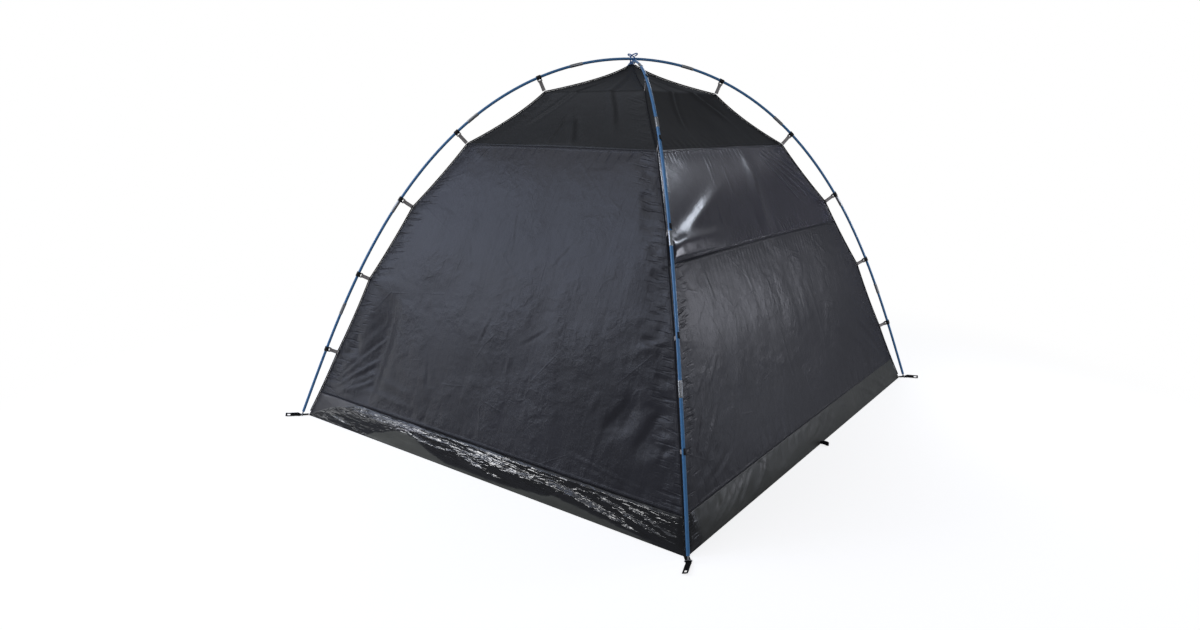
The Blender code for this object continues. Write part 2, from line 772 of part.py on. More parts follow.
def strap_loop():
    """The end of a strap, sewn round the bar of its hook."""
    circles = []
    for radius in (STRAP_LOOP_OUTER, STRAP_LOOP_INNER):
        turns = [math.tau * (i + 0.5) / STRAP_LOOP_SIDES for i in range(STRAP_LOOP_SIDES)]
        circles.append([(radius * math.cos(turn), radius * math.sin(turn)) for turn in turns])
    return flat_outline(circles, STRAP_WIDTH)


def tape_half(corner, outline):
    """A flat tape standing in the plane of its pole, joined to the loops of its straps."""
    direction = CORNERS[corner]
    side = Vector((0, 0, 1)).cross(direction)
    mesh = flat_outline([outline], TAPE_THICKNESS)
    mesh.transform(frame_matrix(Vector(), direction, Vector((0, 0, 1)), -side))
    tape = working_object(mesh)
    loop = strap_loop()
    for row in range(len(HOOK_ROWS)):
        place, side, outward, along = hook_frame(corner, row)
        joined = add_cutter(f"strap_loop_{corner}_{row + 1}", loop, frame_matrix(place, side, outward, along))
        boolean(tape, joined, "UNION")
    return tape


def add_tapes():
    """One tape runs over the top under pole a, and two shorter ones meet it from the sides."""
    for corner in ("front_right", "back_left"):
        mesh = settle(tape_half(corner, tape_outline(corner)))
        add_part(f"ridge_tape_{corner}", mesh, "strap_webbing")
    first, last = POLES["a"][1:]
    halves = []
    for corner in (first, last):
        outline = tape_outline(corner)
        top = [index for index, point in enumerate(outline) if point[0] == TAPE_TOP_RADIUS]
        low, high = outline[top[0]][1], outline[top[1]][1]
        outline[top[0]] = (-TOUCH_GAP, low)
        outline[top[1]] = (-TOUCH_GAP, high)
        halves.append(working_object(settle(tape_half(corner, outline))))
    boolean(halves[0], halves[1], "UNION")
    mesh = settle(halves[0])
    bpy.data.objects.remove(halves[1])
    add_part("ridge_tape_over_top", mesh, "strap_webbing")


def foot_strap_outline(corner):
    """A corner strap from the floor's corner outwards, in (distance, side), and its peg hole.

    It runs straight through the eye of the foot pin and then lies off to one side.
    """
    half = FOOT_STRAP_WIDTH / 2
    start = FLOOR_RADIUS + TOUCH_GAP * 2
    swing = math.radians(FOOT_STRAP_SWINGS[corner])
    knee = Vector((start + FOOT_STRAP_KNEE, 0))
    along = Vector((math.cos(swing), math.sin(swing)))
    aside = Vector((-along.y, along.x))
    mitre = Vector((-math.sin(swing / 2), math.cos(swing / 2))) * half / math.cos(swing / 2)
    end = knee + along * (FOOT_STRAP_LENGTH - FOOT_STRAP_KNEE)
    slants = (half * ALONG_X / ALONG_Y, half * ALONG_Y / ALONG_X)
    if CORNERS[corner].x * CORNERS[corner].y < 0:
        slants = (slants[1], slants[0])
    outline = [(start - slants[0], half), (start, 0), (start - slants[1], -half), knee - mitre]
    outline += [end - aside * half - along * half / 2, end - aside * half / 2]
    outline += [end + aside * half / 2, end + aside * half - along * half / 2, knee + mitre]
    hole_end = end - along * PEG_HOLE_MARGIN
    hole_start = hole_end - along * PEG_HOLE_LENGTH
    across = aside * PEG_HOLE_WIDTH / 2
    hole = [hole_start - across, hole_end - across, hole_end + across, hole_start + across]
    return [outline, hole]


STRAP_REST_HEIGHT = WIRE_DIAMETER + TOUCH_GAP
EYE_TOP = STRAP_REST_HEIGHT + FOOT_STRAP_THICKNESS + TOUCH_GAP + WIRE_DIAMETER


def add_foot_straps():
    for corner, direction in CORNERS.items():
        side = Vector((0, 0, 1)).cross(direction)
        mesh = flat_outline(foot_strap_outline(corner), FOOT_STRAP_THICKNESS)
        place = Vector((0, 0, STRAP_REST_HEIGHT + FOOT_STRAP_THICKNESS / 2))
        matrix = frame_matrix(place, direction, side, Vector((0, 0, 1)))
        add_part(f"foot_strap_{corner}", mesh, "foot_webbing", matrix)


def pin_mesh(slope):
    """A wire eye round the foot strap, with the pin that stands in the end of the pole.

    Its X is the outward direction, its Z is up, and its origin is the foot of the pole.
    """
    wire = WIRE_DIAMETER / 2
    half = FOOT_STRAP_WIDTH / 2 + TOUCH_GAP * 2 + wire
    low, high = wire - FOOT_HEIGHT, EYE_TOP - wire - FOOT_HEIGHT
    bend = 0.3 * (high - low)
    lean = -math.cos(slope) / math.sin(slope)
    corners = [(-half, low + bend), (-half + bend, low), (half - bend, low), (half, low + bend),
               (half, high - bend), (half - bend, high), (-half + bend, high), (-half, high - bend)]
    eye = tube([(lean * high, y, z) for y, z in corners], WIRE_DIAMETER, cyclic=True)
    shaft_start = Vector((lean * high, 0, high))
    shaft_end = Vector((-math.cos(slope), 0, math.sin(slope))) * (PIN_LENGTH - TOUCH_GAP * 2)
    shaft = turned(pin_profile((shaft_end - shaft_start).length), ROD_SIDES)
    along = (shaft_end - shaft_start).normalized()
    side = Vector((0, 1, 0))
    shaft.transform(frame_matrix(shaft_start, side.cross(along), side, along))
    pin = working_object(eye)
    boolean(pin, add_cutter("pin_shaft", shaft), "UNION")
    return smooth(settle(pin), 50)


def pin_profile(length):
    radius = PIN_DIAMETER / 2
    return [(0, length), (radius * 0.7, length), (radius, length - radius * 0.5), (radius, 0), (0, 0)]


def add_pins():
    for pole, (arch, *corners) in POLES.items():
        mesh = pin_mesh(arch.table[0][3])
        for corner in corners:
            direction = CORNERS[corner]
            place = direction * FOOT_RADIUS + Vector((0, 0, FOOT_HEIGHT))
            side = Vector((0, 0, 1)).cross(direction)
            add_part(f"foot_pin_{corner}", mesh, "pin_steel",
                     frame_matrix(place, direction, side, Vector((0, 0, 1))))


def add_side_loop():
    """The peg loop in the middle of the right-hand edge of the floor."""
    half = SIDE_LOOP_WIDTH / 2
    hole = SIDE_LOOP_WIDTH / 2 - PEG_HOLE_MARGIN / 2
    start = side_point("right", 0, STRAP_REST_HEIGHT).x + TOUCH_GAP
    end = start + SIDE_LOOP_LENGTH
    outline = [(start, -half), (end - half, -half), (end, -half / 2), (end, half / 2)]
    outline += [(end - half, half), (start, half)]
    middle = end - PEG_HOLE_MARGIN / 2
    opening = [(middle - PEG_HOLE_LENGTH, -hole), (middle - hole, -hole), (middle, 0), (middle - hole, hole),
               (middle - PEG_HOLE_LENGTH, hole)]
    mesh = flat_outline([outline, opening], FOOT_STRAP_THICKNESS)
    place = Matrix.Translation((0, 0, STRAP_REST_HEIGHT + FOOT_STRAP_THICKNESS / 2))
    add_part("peg_loop_right", mesh, "foot_webbing", place)


def add_tie():
    """The cord bow that holds the crossing and the tip of the cap together."""
    cord = TIE_DIAMETER / 2 + TOUCH_GAP
    wide = POLE_RADIUS / min(ALONG_X, ALONG_Y) + cord
    top = CROSSING_HEIGHT + 2 * LIFT + cord
    low = CROSSING_HEIGHT - 2 * LIFT - cord
    points = [
        (-BOW_REACH * 0.35, BOW_DEPTH, top + 0.1 * BOW_RISE),
        (-BOW_REACH, BOW_DEPTH, top + 0.55 * BOW_RISE),
        (-BOW_REACH * 0.8, BOW_DEPTH * 0.6, top + BOW_RISE),
        (-BOW_REACH * 0.3, 0, top + 0.65 * BOW_RISE),
        (0.2 * wide, 0, top + 0.1 * BOW_RISE),
        (wide, 0, top - cord),
        (wide, 0, low + cord),
        (0.5 * wide, 0, low),
        (-0.5 * wide, 0, low),
        (-wide, 0, low + cord),
        (-wide, 0, top - cord),
        (-0.5 * wide, -BOW_DEPTH, top + 0.3 * BOW_RISE),
        (BOW_REACH * 0.3, -BOW_DEPTH, top + 0.7 * BOW_RISE),
        (BOW_REACH * 0.8, -BOW_DEPTH, top + BOW_RISE),
        (BOW_REACH, -BOW_DEPTH, top + 0.6 * BOW_RISE),
        (BOW_REACH * 0.5, -BOW_DEPTH, top + 0.15 * BOW_RISE),
    ]
    add_part("crossing_tie", smooth(tube(points, TIE_DIAMETER), 60), "tie_cord")


add_tub()
add_walls()
add_door()
add_cap()
for pole_name in POLES:
    add_rods(pole_name)
add_hooks()
add_tapes()
add_foot_straps()
add_pins()
add_side_loop()
add_tie()
print("rod length", round(2 * MEAN_ARCH.length / RODS_PER_POLE, 4))
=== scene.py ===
# %% [markdown]
# # A family tent, hung under two bent poles
#
# This lesson dresses a tent whose parts are already packed as a frame: two long blue
# poles that cross over the top, twenty black hooks that ride on them, and a grey
# cloth tent that hangs from the hooks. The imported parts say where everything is.
# What follows adds what cloth, steel and plastic look like. Lengths are in metres.

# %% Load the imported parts
import math

import bpy
import numpy as np
from mathutils import Matrix, Vector


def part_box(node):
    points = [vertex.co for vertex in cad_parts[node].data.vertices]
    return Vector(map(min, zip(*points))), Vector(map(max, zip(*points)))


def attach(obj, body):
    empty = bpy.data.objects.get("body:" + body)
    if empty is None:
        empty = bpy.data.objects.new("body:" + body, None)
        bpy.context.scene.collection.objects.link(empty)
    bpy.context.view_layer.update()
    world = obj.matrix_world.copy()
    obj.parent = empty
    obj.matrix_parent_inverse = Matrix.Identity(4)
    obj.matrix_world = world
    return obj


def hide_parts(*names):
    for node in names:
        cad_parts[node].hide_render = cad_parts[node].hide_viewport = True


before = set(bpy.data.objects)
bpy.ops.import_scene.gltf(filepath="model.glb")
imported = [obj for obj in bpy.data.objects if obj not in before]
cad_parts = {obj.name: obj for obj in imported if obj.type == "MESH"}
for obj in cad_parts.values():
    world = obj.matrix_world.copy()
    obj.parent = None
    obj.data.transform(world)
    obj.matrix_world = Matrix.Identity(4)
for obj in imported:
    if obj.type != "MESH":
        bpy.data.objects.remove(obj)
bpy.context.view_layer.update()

# %% [markdown]
# The camera comes first, because every later choice is judged through it. It stands
# to the right of the front face and looks along it and the right-hand face at once,
# a little down, with a lens of about 24 mm. The turn, the tilt and the small roll
# are what makes the feet, the crossing and the hooks land on the picture's own.

# %% The camera
CAMERA_TURN = math.radians(36.29)
CAMERA_TILT = math.radians(14.02)
CAMERA_ROLL = math.radians(0.526)
CAMERA_PLACE = Vector((2.1997, -3.2379, 1.4073))
CAMERA_LENS = 23.633

forward = Vector((-math.sin(CAMERA_TURN) * math.cos(CAMERA_TILT),
                  math.cos(CAMERA_TURN) * math.cos(CAMERA_TILT), -math.sin(CAMERA_TILT)))
rightward = Vector((math.cos(CAMERA_TURN), math.sin(CAMERA_TURN), 0))
upward = rightward.cross(forward)
rolled_right = math.cos(CAMERA_ROLL) * rightward + math.sin(CAMERA_ROLL) * upward
rolled_up = -math.sin(CAMERA_ROLL) * rightward + math.cos(CAMERA_ROLL) * upward
camera = bpy.data.objects.new("camera", bpy.data.cameras.new("camera"))
bpy.context.scene.collection.objects.link(camera)
camera.data.lens = CAMERA_LENS
camera.data.sensor_width = 36
camera.data.clip_end = 200
camera.matrix_world = Matrix.Translation(CAMERA_PLACE) @ Matrix((rolled_right, rolled_up,
                                                                 -forward)).transposed().to_4x4()
bpy.context.scene.camera = camera
bpy.context.scene.view_settings.view_transform = "Standard"
print("camera distance from the tent's middle:", round((CAMERA_PLACE - Vector((0, 0, 0.8))).length, 2))

# %% [markdown]
# A few small helpers are used all through. Colours are written as the hex codes that a colour picker gives,
# and one function turns them into the linear values that the renderer works in. One function adds any
# shader node. The rest select, finish and check a piece the way one would by hand.

# %% Helpers
def colour(code):
    """The linear colour of a hex code such as #48505A."""
    parts = [int(code[i:i + 2], 16) / 255 for i in (1, 3, 5)]
    return tuple(p / 12.92 if p <= 0.04045 else ((p + 0.055) / 1.055) ** 2.4 for p in parts) + (1.0,)


def node(material, kind, inputs=None, **settings):
    """Adds one shader node. Inputs may be values, or the outputs of other nodes."""
    tree = material.node_tree
    made = tree.nodes.new("ShaderNode" + kind)
    for name, value in settings.items():
        setattr(made, name, value)
    for name, value in (inputs or {}).items():
        socket = made.inputs[name]
        if isinstance(value, bpy.types.NodeSocket):
            tree.links.new(value, socket)
        else:
            socket.default_value = value
    return made


def new_material(name):
    """A material that holds only its surface shader, and the shader itself."""
    material = bpy.data.materials.new(name)
    material.use_nodes = True
    return material, material.node_tree.nodes["Principled BSDF"]


def link(material, output, socket):
    material.node_tree.links.new(output, socket)


def calculate(material, operation, first, second):
    """The outcome of one step of arithmetic on two values."""
    return node(material, "Math", {0: first, 1: second}, operation=operation).outputs["Value"]


def rescale(material, value, start, end, low, high, smooth=False):
    """Turns a value that runs from start to end into one that runs from low to high."""
    kind = {"interpolation_type": "SMOOTHSTEP"} if smooth else {}
    spans = {"Value": value, "From Min": start, "From Max": end, "To Min": low, "To Max": high}
    return node(material, "MapRange", spans, **kind).outputs["Result"]


def noise(material, vector, scale, detail, **more):
    """An uneven pattern. Its lumps are about 1 / scale apart, in metres where the vector is in metres."""
    return node(material, "TexNoise", {"Vector": vector, "Scale": scale, "Detail": detail, **more})


def two_tones(material, factor, dark, light, low=0.0, high=1.0):
    """A colour that goes from dark to light as a factor goes from low to high."""
    ramp = node(material, "ValToRGB", {"Fac": factor})
    first, last = ramp.color_ramp.elements
    first.position, last.position = low, high
    first.color, last.color = colour(dark), colour(light)
    return ramp.outputs["Color"]


def emboss(material, shader, height, strength, distance):
    """Tilts the light on a surface as if it were raised by a height."""
    bump = node(material, "Bump", {"Height": height, "Strength": strength, "Distance": distance})
    link(material, bump.outputs["Normal"], shader.inputs["Normal"])


def only(*objects):
    """Leaves just these objects selected, the last of them active."""
    for thing in bpy.context.selected_objects:
        thing.select_set(False)
    for thing in objects:
        thing.select_set(True)
    bpy.context.view_layer.objects.active = objects[-1]
    return objects[-1]


def apply_modifiers(thing):
    only(thing)
    for change in list(thing.modifiers):
        bpy.ops.object.modifier_apply(modifier=change.name)
    return thing


def give_wall(thing, name, thickness, offset=0):
    """A wall for a thin sheet: on both sides of it, or on one where the offset is 1 or -1."""
    wall = thing.modifiers.new(name, "SOLIDIFY")
    wall.thickness = thickness
    wall.offset = offset


SHADE_ANGLE = math.radians(40)


def shade_by_angle(thing):
    """Shades a hard piece smooth, but for its sharp edges."""
    only(thing)
    bpy.ops.object.shade_smooth_by_angle(angle=SHADE_ANGLE)


def ends_of(thing):
    """The lowest and highest corner of an object that stands at the origin."""
    places = np.array([v.co for v in thing.data.vertices])
    return [tuple(round(float(v), 4) for v in places.min(0)),
            tuple(round(float(v), 4) for v in places.max(0))]


def triangles(thing):
    thing.data.calc_loop_triangles()
    return len(thing.data.loop_triangles)


# %% [markdown]
# The tent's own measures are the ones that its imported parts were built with. The
# two poles are straight rods when they lie on the grass. Pushed into an arch, such
# a rod bends most where it is highest. The table that comes from this rule gives,
# for each length along a pole, how far out and how high it is, and how it slopes.

# %% The poles' arches
FOOT_SPAN_X, FOOT_SPAN_Y = 2.14, 2.40
CROSSING_HEIGHT, FOOT_HEIGHT = 1.675, 0.020
CROWN_BEND = 0.207
POLE_DIAMETER = 0.0127
POLE_RADIUS = POLE_DIAMETER / 2
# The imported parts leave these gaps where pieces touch, slide in one another, or snap over the pole.
TOUCH_GAP, SLIP_CLEARANCE, HOOK_CLEARANCE = 0.0003, 0.0004, 0.0008
FOOT_RADIUS = math.hypot(FOOT_SPAN_X, FOOT_SPAN_Y) / 2
ALONG_X = FOOT_SPAN_X / 2 / FOOT_RADIUS
ALONG_Y = FOOT_SPAN_Y / 2 / FOOT_RADIUS
LIFT = POLE_RADIUS + TOUCH_GAP / 2
ARCH_STEPS = 400
CORNERS = {
    "front_left": Vector((-ALONG_X, -ALONG_Y, 0)), "front_right": Vector((ALONG_X, -ALONG_Y, 0)),
    "back_right": Vector((ALONG_X, ALONG_Y, 0)), "back_left": Vector((-ALONG_X, ALONG_Y, 0)),
}


def arch_table(half_span, rise):
    """Rows of (length from the foot, distance from the centre, height above the foot, slope)."""
    phases = (np.arange(ARCH_STEPS) + 0.5) * math.pi / 2 / ARCH_STEPS
    ends = np.arange(ARCH_STEPS + 1) * math.pi / 2 / ARCH_STEPS

    def steps(bend_at_foot, phase):
        crown = np.sqrt(1 + CROWN_BEND * np.sin(phase) ** 2)
        bend = bend_at_foot * np.cos(phase) * crown
        run = rise / (2 * bend_at_foot * crown * np.sqrt(1 - bend * bend)) * (math.pi / 2 / ARCH_STEPS)
        return run, 2 * np.arcsin(bend)

    low, high = 0.05, 0.95
    for _ in range(60):
        middle = (low + high) / 2
        run, slope = steps(middle, phases)
        if (run * np.cos(slope)).sum() > half_span:
            low = middle
        else:
            high = middle
    run, slope = steps(middle, phases)
    lengths = np.concatenate([[0], np.cumsum(run)])
    distances = half_span - np.concatenate([[0], np.cumsum(run * np.cos(slope))])
    return np.stack([lengths, distances, rise * np.sin(ends), steps(middle, ends)[1]], axis=1)


RISE = CROSSING_HEIGHT - FOOT_HEIGHT
MEAN_ARCH = arch_table(FOOT_RADIUS, RISE)
POLES = {
    "a": (arch_table(FOOT_RADIUS, RISE + LIFT), "front_left", "back_right"),
    "b": (arch_table(FOOT_RADIUS, RISE - LIFT), "front_right", "back_left"),
}
POLE_OF_CORNER = {corner: pole for pole, (_, *corners) in POLES.items() for corner in corners}


def pole_frame(pole, length):
    """A point on a pole's centre line, and its side, outward and along directions."""
    table, first, last = POLES[pole]
    half = table[-1, 0]
    corner = CORNERS[first] if length <= half else CORNERS[last]
    near = min(length, 2 * half - length)
    distance, height, slope = (float(np.interp(near, table[:, 0], table[:, i])) for i in (1, 2, 3))
    slope = slope if length <= half else -slope
    place = corner * distance + Vector((0, 0, height + FOOT_HEIGHT))
    ahead = -CORNERS[first]
    along = ahead * math.cos(slope) + Vector((0, 0, math.sin(slope)))
    outward = Vector((0, 0, math.cos(slope))) - ahead * math.sin(slope)
    return place, outward.cross(along), outward, along


print("pole lengths:", {pole: round(2 * table[-1, 0], 3) for pole, (table, *_) in POLES.items()})

# %% [markdown]
# The cloth's shape follows from the poles. Each of five hooks on a half pole holds a strap, and the straps
# set where the ridge runs. Between straps the ridge draws in a little, and the middle of each wall draws in
# more, because the floor pulls it taut. These functions work on whole arrays, so that a wall of forty
# thousand points is shaped in one step.

# %% The cloth's shape
HOOK_LENGTHS = np.array((0.336, 0.730, 1.137, 1.543, 2.003))
STRAP_REACHES = np.array((0.053, 0.055, 0.063, 0.067, 0.065))
FLOOR_INSET, TIP_DROP, TIP_RADIUS = 0.024, 0.0235, 0.012
EDGE_SAGS = np.array((0.003, 0.004, 0.004, 0.005, 0.014, 0.015))
WALL_DRAW_IN = 0.030
DRAW_IN_SHARES = np.array((0.0, 0.40, 0.85, 1.0, 1.0, 0.5, 0.0))
TUB_HEIGHT, VENT_SEAM_HEIGHT = 0.115, 0.893

hook_rows = [[float(np.interp(length, MEAN_ARCH[:, 0], MEAN_ARCH[:, i])) for i in (1, 2, 3)]
             for length in HOOK_LENGTHS]
RIDGE_R = np.array([FOOT_RADIUS - FLOOR_INSET]
                   + [d - reach * math.sin(s) for (d, _, s), reach in zip(hook_rows, STRAP_REACHES)]
                   + [TIP_RADIUS])
RIDGE_Z = np.array([0.0] + [h + FOOT_HEIGHT - reach * math.cos(s)
                            for (_, h, s), reach in zip(hook_rows, STRAP_REACHES)]
                   + [CROSSING_HEIGHT - TIP_DROP])
CAP_SEAM_HEIGHT, TIP_HEIGHT = float(RIDGE_Z[4]), float(RIDGE_Z[6])
chords = np.diff(RIDGE_R) / np.diff(RIDGE_Z)
RIDGE_SLOPES = np.concatenate([[chords[0], chords[0]], (chords[1:-1] + chords[2:]) / 2, [chords[-1]]])
print("ridge:", [(round(float(r), 4), round(float(z), 4)) for r, z in zip(RIDGE_R, RIDGE_Z)])


def ridge_span(height):
    index = np.clip(np.searchsorted(RIDGE_Z, height, side="left") - 1, 0, len(RIDGE_Z) - 2)
    return index, (height - RIDGE_Z[index]) / (RIDGE_Z[index + 1] - RIDGE_Z[index])


def ridge_radius(height):
    """How far the ridge stands from the centre at each height."""
    index, share = ridge_span(height)
    rise, run = RIDGE_Z[index + 1] - RIDGE_Z[index], RIDGE_R[index + 1] - RIDGE_R[index]
    steepness = rise / np.hypot(run, rise)
    return RIDGE_R[index] + run * share - EDGE_SAGS[index] / steepness * 4 * share * (1 - share)


def middle_radius(height):
    """The smooth line through the strap points, which the middle of each wall follows."""
    index, share = ridge_span(height)
    rise = RIDGE_Z[index + 1] - RIDGE_Z[index]
    square, cube = share ** 2, share ** 3
    return (RIDGE_R[index] * (2 * cube - 3 * square + 1)
            + RIDGE_SLOPES[index] * rise * (cube - 2 * square + share)
            + RIDGE_R[index + 1] * (3 * square - 2 * cube)
            + RIDGE_SLOPES[index + 1] * rise * (cube - square))


def side_points(side, across, height):
    """Points on the outside of a wall, where across runs from -1 at its left ridge to 1 at its right."""
    edge = ridge_radius(height)
    middle = np.where(height > CAP_SEAM_HEIGHT, edge, middle_radius(height))
    distance = middle + (edge - middle) * np.abs(across) ** 6
    index, share = ridge_span(height)
    drawn = DRAW_IN_SHARES[index] + (DRAW_IN_SHARES[index + 1] - DRAW_IN_SHARES[index]) * share
    inward = WALL_DRAW_IN * drawn * (1 - across ** 2)
    if side in ("front", "back"):
        x, y = edge * ALONG_X * across, -distance * ALONG_Y + inward
    else:
        x, y = distance * ALONG_X - inward, edge * ALONG_Y * across
    if side in ("back", "left"):
        x, y = -x, -y
    return np.stack([x, y, height], axis=-1)


def half_width(side, height):
    return ridge_radius(height) * (ALONG_X if side in ("front", "back") else ALONG_Y)


# %% [markdown]
# Real tent cloth is never quite smooth. It has packing creases, short puckers where it is gathered into a
# seam, fans of small folds that start from each strap, and slow swells in between. Each kind is one small
# function of the place on the wall: how far along it, from its middle, and how high. All give a height in
# metres off the smooth wall, and a wall adds up as many of them as its picture shows.

# %% Folds in cloth
def ease(x):
    """A smooth step from 0 to 1."""
    x = np.clip(x, 0, 1)
    return x * x * (3 - 2 * x)


def swell(along, height, size, seed):
    """Slow, uneven swells between -1 and 1, about so many metres across."""
    table = np.random.default_rng(seed).uniform(-1, 1, (64, 64))
    x, y = along / size + 29.3, height / size + 17.7
    i, j = np.floor(x).astype(int), np.floor(y).astype(int)
    fx, fy = ease(x - i), ease(y - j)
    corner = [[table[(i + a) % 64, (j + b) % 64] for b in (0, 1)] for a in (0, 1)]
    low = corner[0][0] * (1 - fx) + corner[1][0] * fx
    high = corner[0][1] * (1 - fx) + corner[1][1] * fx
    return low * (1 - fy) + high * fy


def crease(along, height, start, end, width, depth, bow=0.0, fade=0.25):
    """One fold from start to end: a rounded crest with a shallower dip on its left. It fades at its ends."""
    (x0, z0), (x1, z1) = start, end
    length = math.hypot(x1 - x0, z1 - z0)
    dx, dz = (x1 - x0) / length, (z1 - z0) / length
    share = ((along - x0) * dx + (height - z0) * dz) / length
    off = (height - z0) * dx - (along - x0) * dz + bow * 4 * share * (1 - share)
    off = off / width
    ends = ease(share / fade) * ease((1 - share) / fade)
    return depth * ends * (np.exp(-off * off) - 0.6 * np.exp(-(off - 1.7) ** 2))


def dent(along, height, start, end, steep, gentle, depth, bow=0.0):
    """One long hollow, steep on its left side and gentle on its right. A depth below 0 makes a crest."""
    (x0, z0), (x1, z1) = start, end
    length = math.hypot(x1 - x0, z1 - z0)
    dx, dz = (x1 - x0) / length, (z1 - z0) / length
    share = ((along - x0) * dx + (height - z0) * dz) / length
    off = (height - z0) * dx - (along - x0) * dz + bow * 4 * share * (1 - share)
    off = np.where(off > 0, off / steep, off / gentle)
    return -depth * ease(share / 0.35) * ease((1 - share) / 0.35) * np.exp(-off * off)


def gathers(along, height, hand, low, high, spacing, seed, reach=0.10, depth=0.0035):
    """Short hollows side by side along a ridge, where the wall is gathered into it, no two alike."""
    chance = np.random.default_rng(seed)
    total = np.zeros_like(along)
    z = low
    while z < high:
        edge = hand * float(half_width("front", np.array([z]))[0])
        length = reach * chance.uniform(0.45, 1.15)
        near = chance.uniform(0.008, 0.035)
        slope = chance.uniform(-0.32, -0.05)
        wide = chance.uniform(0.008, 0.012)
        start = (edge - hand * (near + length), z - slope * length)
        end = (edge - hand * near, z)
        if hand < 0:
            start, end = end, start
        total += dent(along, height, start, end, wide, wide * 1.9, depth * chance.uniform(0.35, 1.1),
                      bow=chance.uniform(-0.006, 0.006))
        z += spacing * chance.uniform(0.6, 1.5)
    return total


def fan(along, height, root, heading, spokes, reach, depth, turn=0.0):
    """Folds that spread from a strap's root like the ribs of a fan, about a heading in degrees."""
    dx, dz = along - root[0], height - root[1]
    away = np.hypot(dx, dz) + 1e-6
    angle = np.arctan2(dz, dx) - math.radians(heading)
    angle = (angle + math.pi) % (2 * math.pi) - math.pi
    ribs = np.cos(spokes * angle + turn) - 0.35 * np.cos(2.3 * spokes * angle + 1.3 * turn)
    return depth * ribs * ease(away / 0.06) * np.exp(-(away / reach) ** 1.3) * np.exp(-(angle / 0.75) ** 2)


def puckers(along, distance, spacing, reach, depth, slant, seed):
    """Short narrow dips side by side, where cloth is gathered into a seam at distance 0."""
    wander = swell(along, along * 0, spacing * 2.3, seed) * 1.4
    strength = 0.55 + 0.45 * swell(along, along * 0 + 3, spacing * 3.1, seed + 1)
    wave = np.cos(2 * math.pi * (along + slant * distance) / spacing + wander * 2)
    dip = np.clip(wave, 0, 1) ** 2
    return -depth * strength * dip * ease(distance / 0.012) * np.exp(-(distance / reach) ** 2)


def packing_creases(along, height, box, count, seed, width=0.008, depth=0.0012):
    """Short straight creases left by packing, scattered in a box of (left, low, right, high)."""
    chance = np.random.default_rng(seed)
    total = np.zeros_like(along)
    for _ in range(count):
        x = chance.uniform(box[0], box[2])
        z = chance.uniform(box[1], box[3])
        angle = chance.choice((70, 100, 20, 150)) + chance.uniform(-18, 18)
        length = chance.uniform(0.06, 0.22)
        dx, dz = math.cos(math.radians(angle)) * length, math.sin(math.radians(angle)) * length
        size = depth * chance.uniform(0.4, 1.0) * chance.choice((-1, 1))
        total += crease(along, height, (x, z), (x + dx, z + dz), width * chance.uniform(0.7, 1.5), size,
                        bow=chance.uniform(-0.01, 0.01), fade=0.4)
    return total


# %% [markdown]
# A wall is a fine grid of points on the smooth shape, moved in or out by its folds,
# and then given the thickness of cloth. Its folds fade out at its edges, where it
# is sewn. The grid also carries what the cloth's material asks for later: a map in
# metres, and how far each point is from the nearest ridge, the top and the foot.

# %% From a grid to cloth
CLOTH_CELL = 0.0085
CLOTH_THICKNESS = 0.0009
# A leaning wall is longer than it is high, and its ridge lies nearer to a point than straight across.
WALL_LEAN, RIDGE_LEAN = 1.12, 0.86


def add_maps(mesh, flat_map, **distances):
    """Gives a mesh its map in metres, and one number per point for each named distance."""
    layer = mesh.uv_layers.new(name="metres")
    corners = np.zeros(len(mesh.loops), dtype=np.int32)
    mesh.loops.foreach_get("vertex_index", corners)
    layer.data.foreach_set("uv", flat_map[corners].astype(np.float32).ravel())
    for name, values in distances.items():
        held = mesh.attributes.new(name, "FLOAT", "POINT")
        held.data.foreach_set("value", values.astype(np.float32).ravel())


def outward_normals(smooth):
    """The direction straight off a grid of points, at each of them."""
    normal = np.cross(np.gradient(smooth, axis=1), np.gradient(smooth, axis=0))
    return normal / np.linalg.norm(normal, axis=2, keepdims=True)


def running_length(points):
    """How far along a line, or up each column of a grid, every point lies."""
    steps = np.linalg.norm(np.diff(points, axis=0), axis=-1)
    return np.concatenate([np.zeros_like(steps[:1]), np.cumsum(steps, axis=0)])


def strip_map(offsets, run):
    """The map of a strip: across it by its offsets, and along it by its length."""
    return np.stack(np.broadcast_arrays(offsets[None, :], run[:, None]), axis=-1).reshape(-1, 2)


def grid_faces(rows, columns, closed=False):
    """The four-sided faces of a grid of points, joined round if it is closed."""
    i, j = np.meshgrid(np.arange(rows - 1), np.arange(columns if closed else columns - 1), indexing="ij")
    k = (j + 1) % columns
    return np.stack([i * columns + j, i * columns + k, (i + 1) * columns + k, (i + 1) * columns + j],
                    axis=-1).reshape(-1, 4)


def sheet_object(name, points, faces):
    mesh = bpy.data.meshes.new(name)
    mesh.from_pydata(points.tolist(), [], faces.tolist())
    mesh.validate()
    thing = bpy.data.objects.new(name, mesh)
    bpy.context.scene.collection.objects.link(thing)
    return thing


def thicken(thing, thickness=CLOTH_THICKNESS):
    """Gives an open sheet the thickness of cloth, inwards, and smooth shading."""
    solid = thing.modifiers.new("thickness", "SOLIDIFY")
    solid.thickness = thickness
    solid.offset = -1
    apply_modifiers(thing)
    thing.data.shade_smooth()
    return thing


def face_area(points, faces):
    a, b, c, d = (points[faces[:, i]] for i in range(4))
    return float((np.linalg.norm(np.cross(b - a, c - a), axis=1)
                  + np.linalg.norm(np.cross(c - a, d - a), axis=1)).sum() / 2)


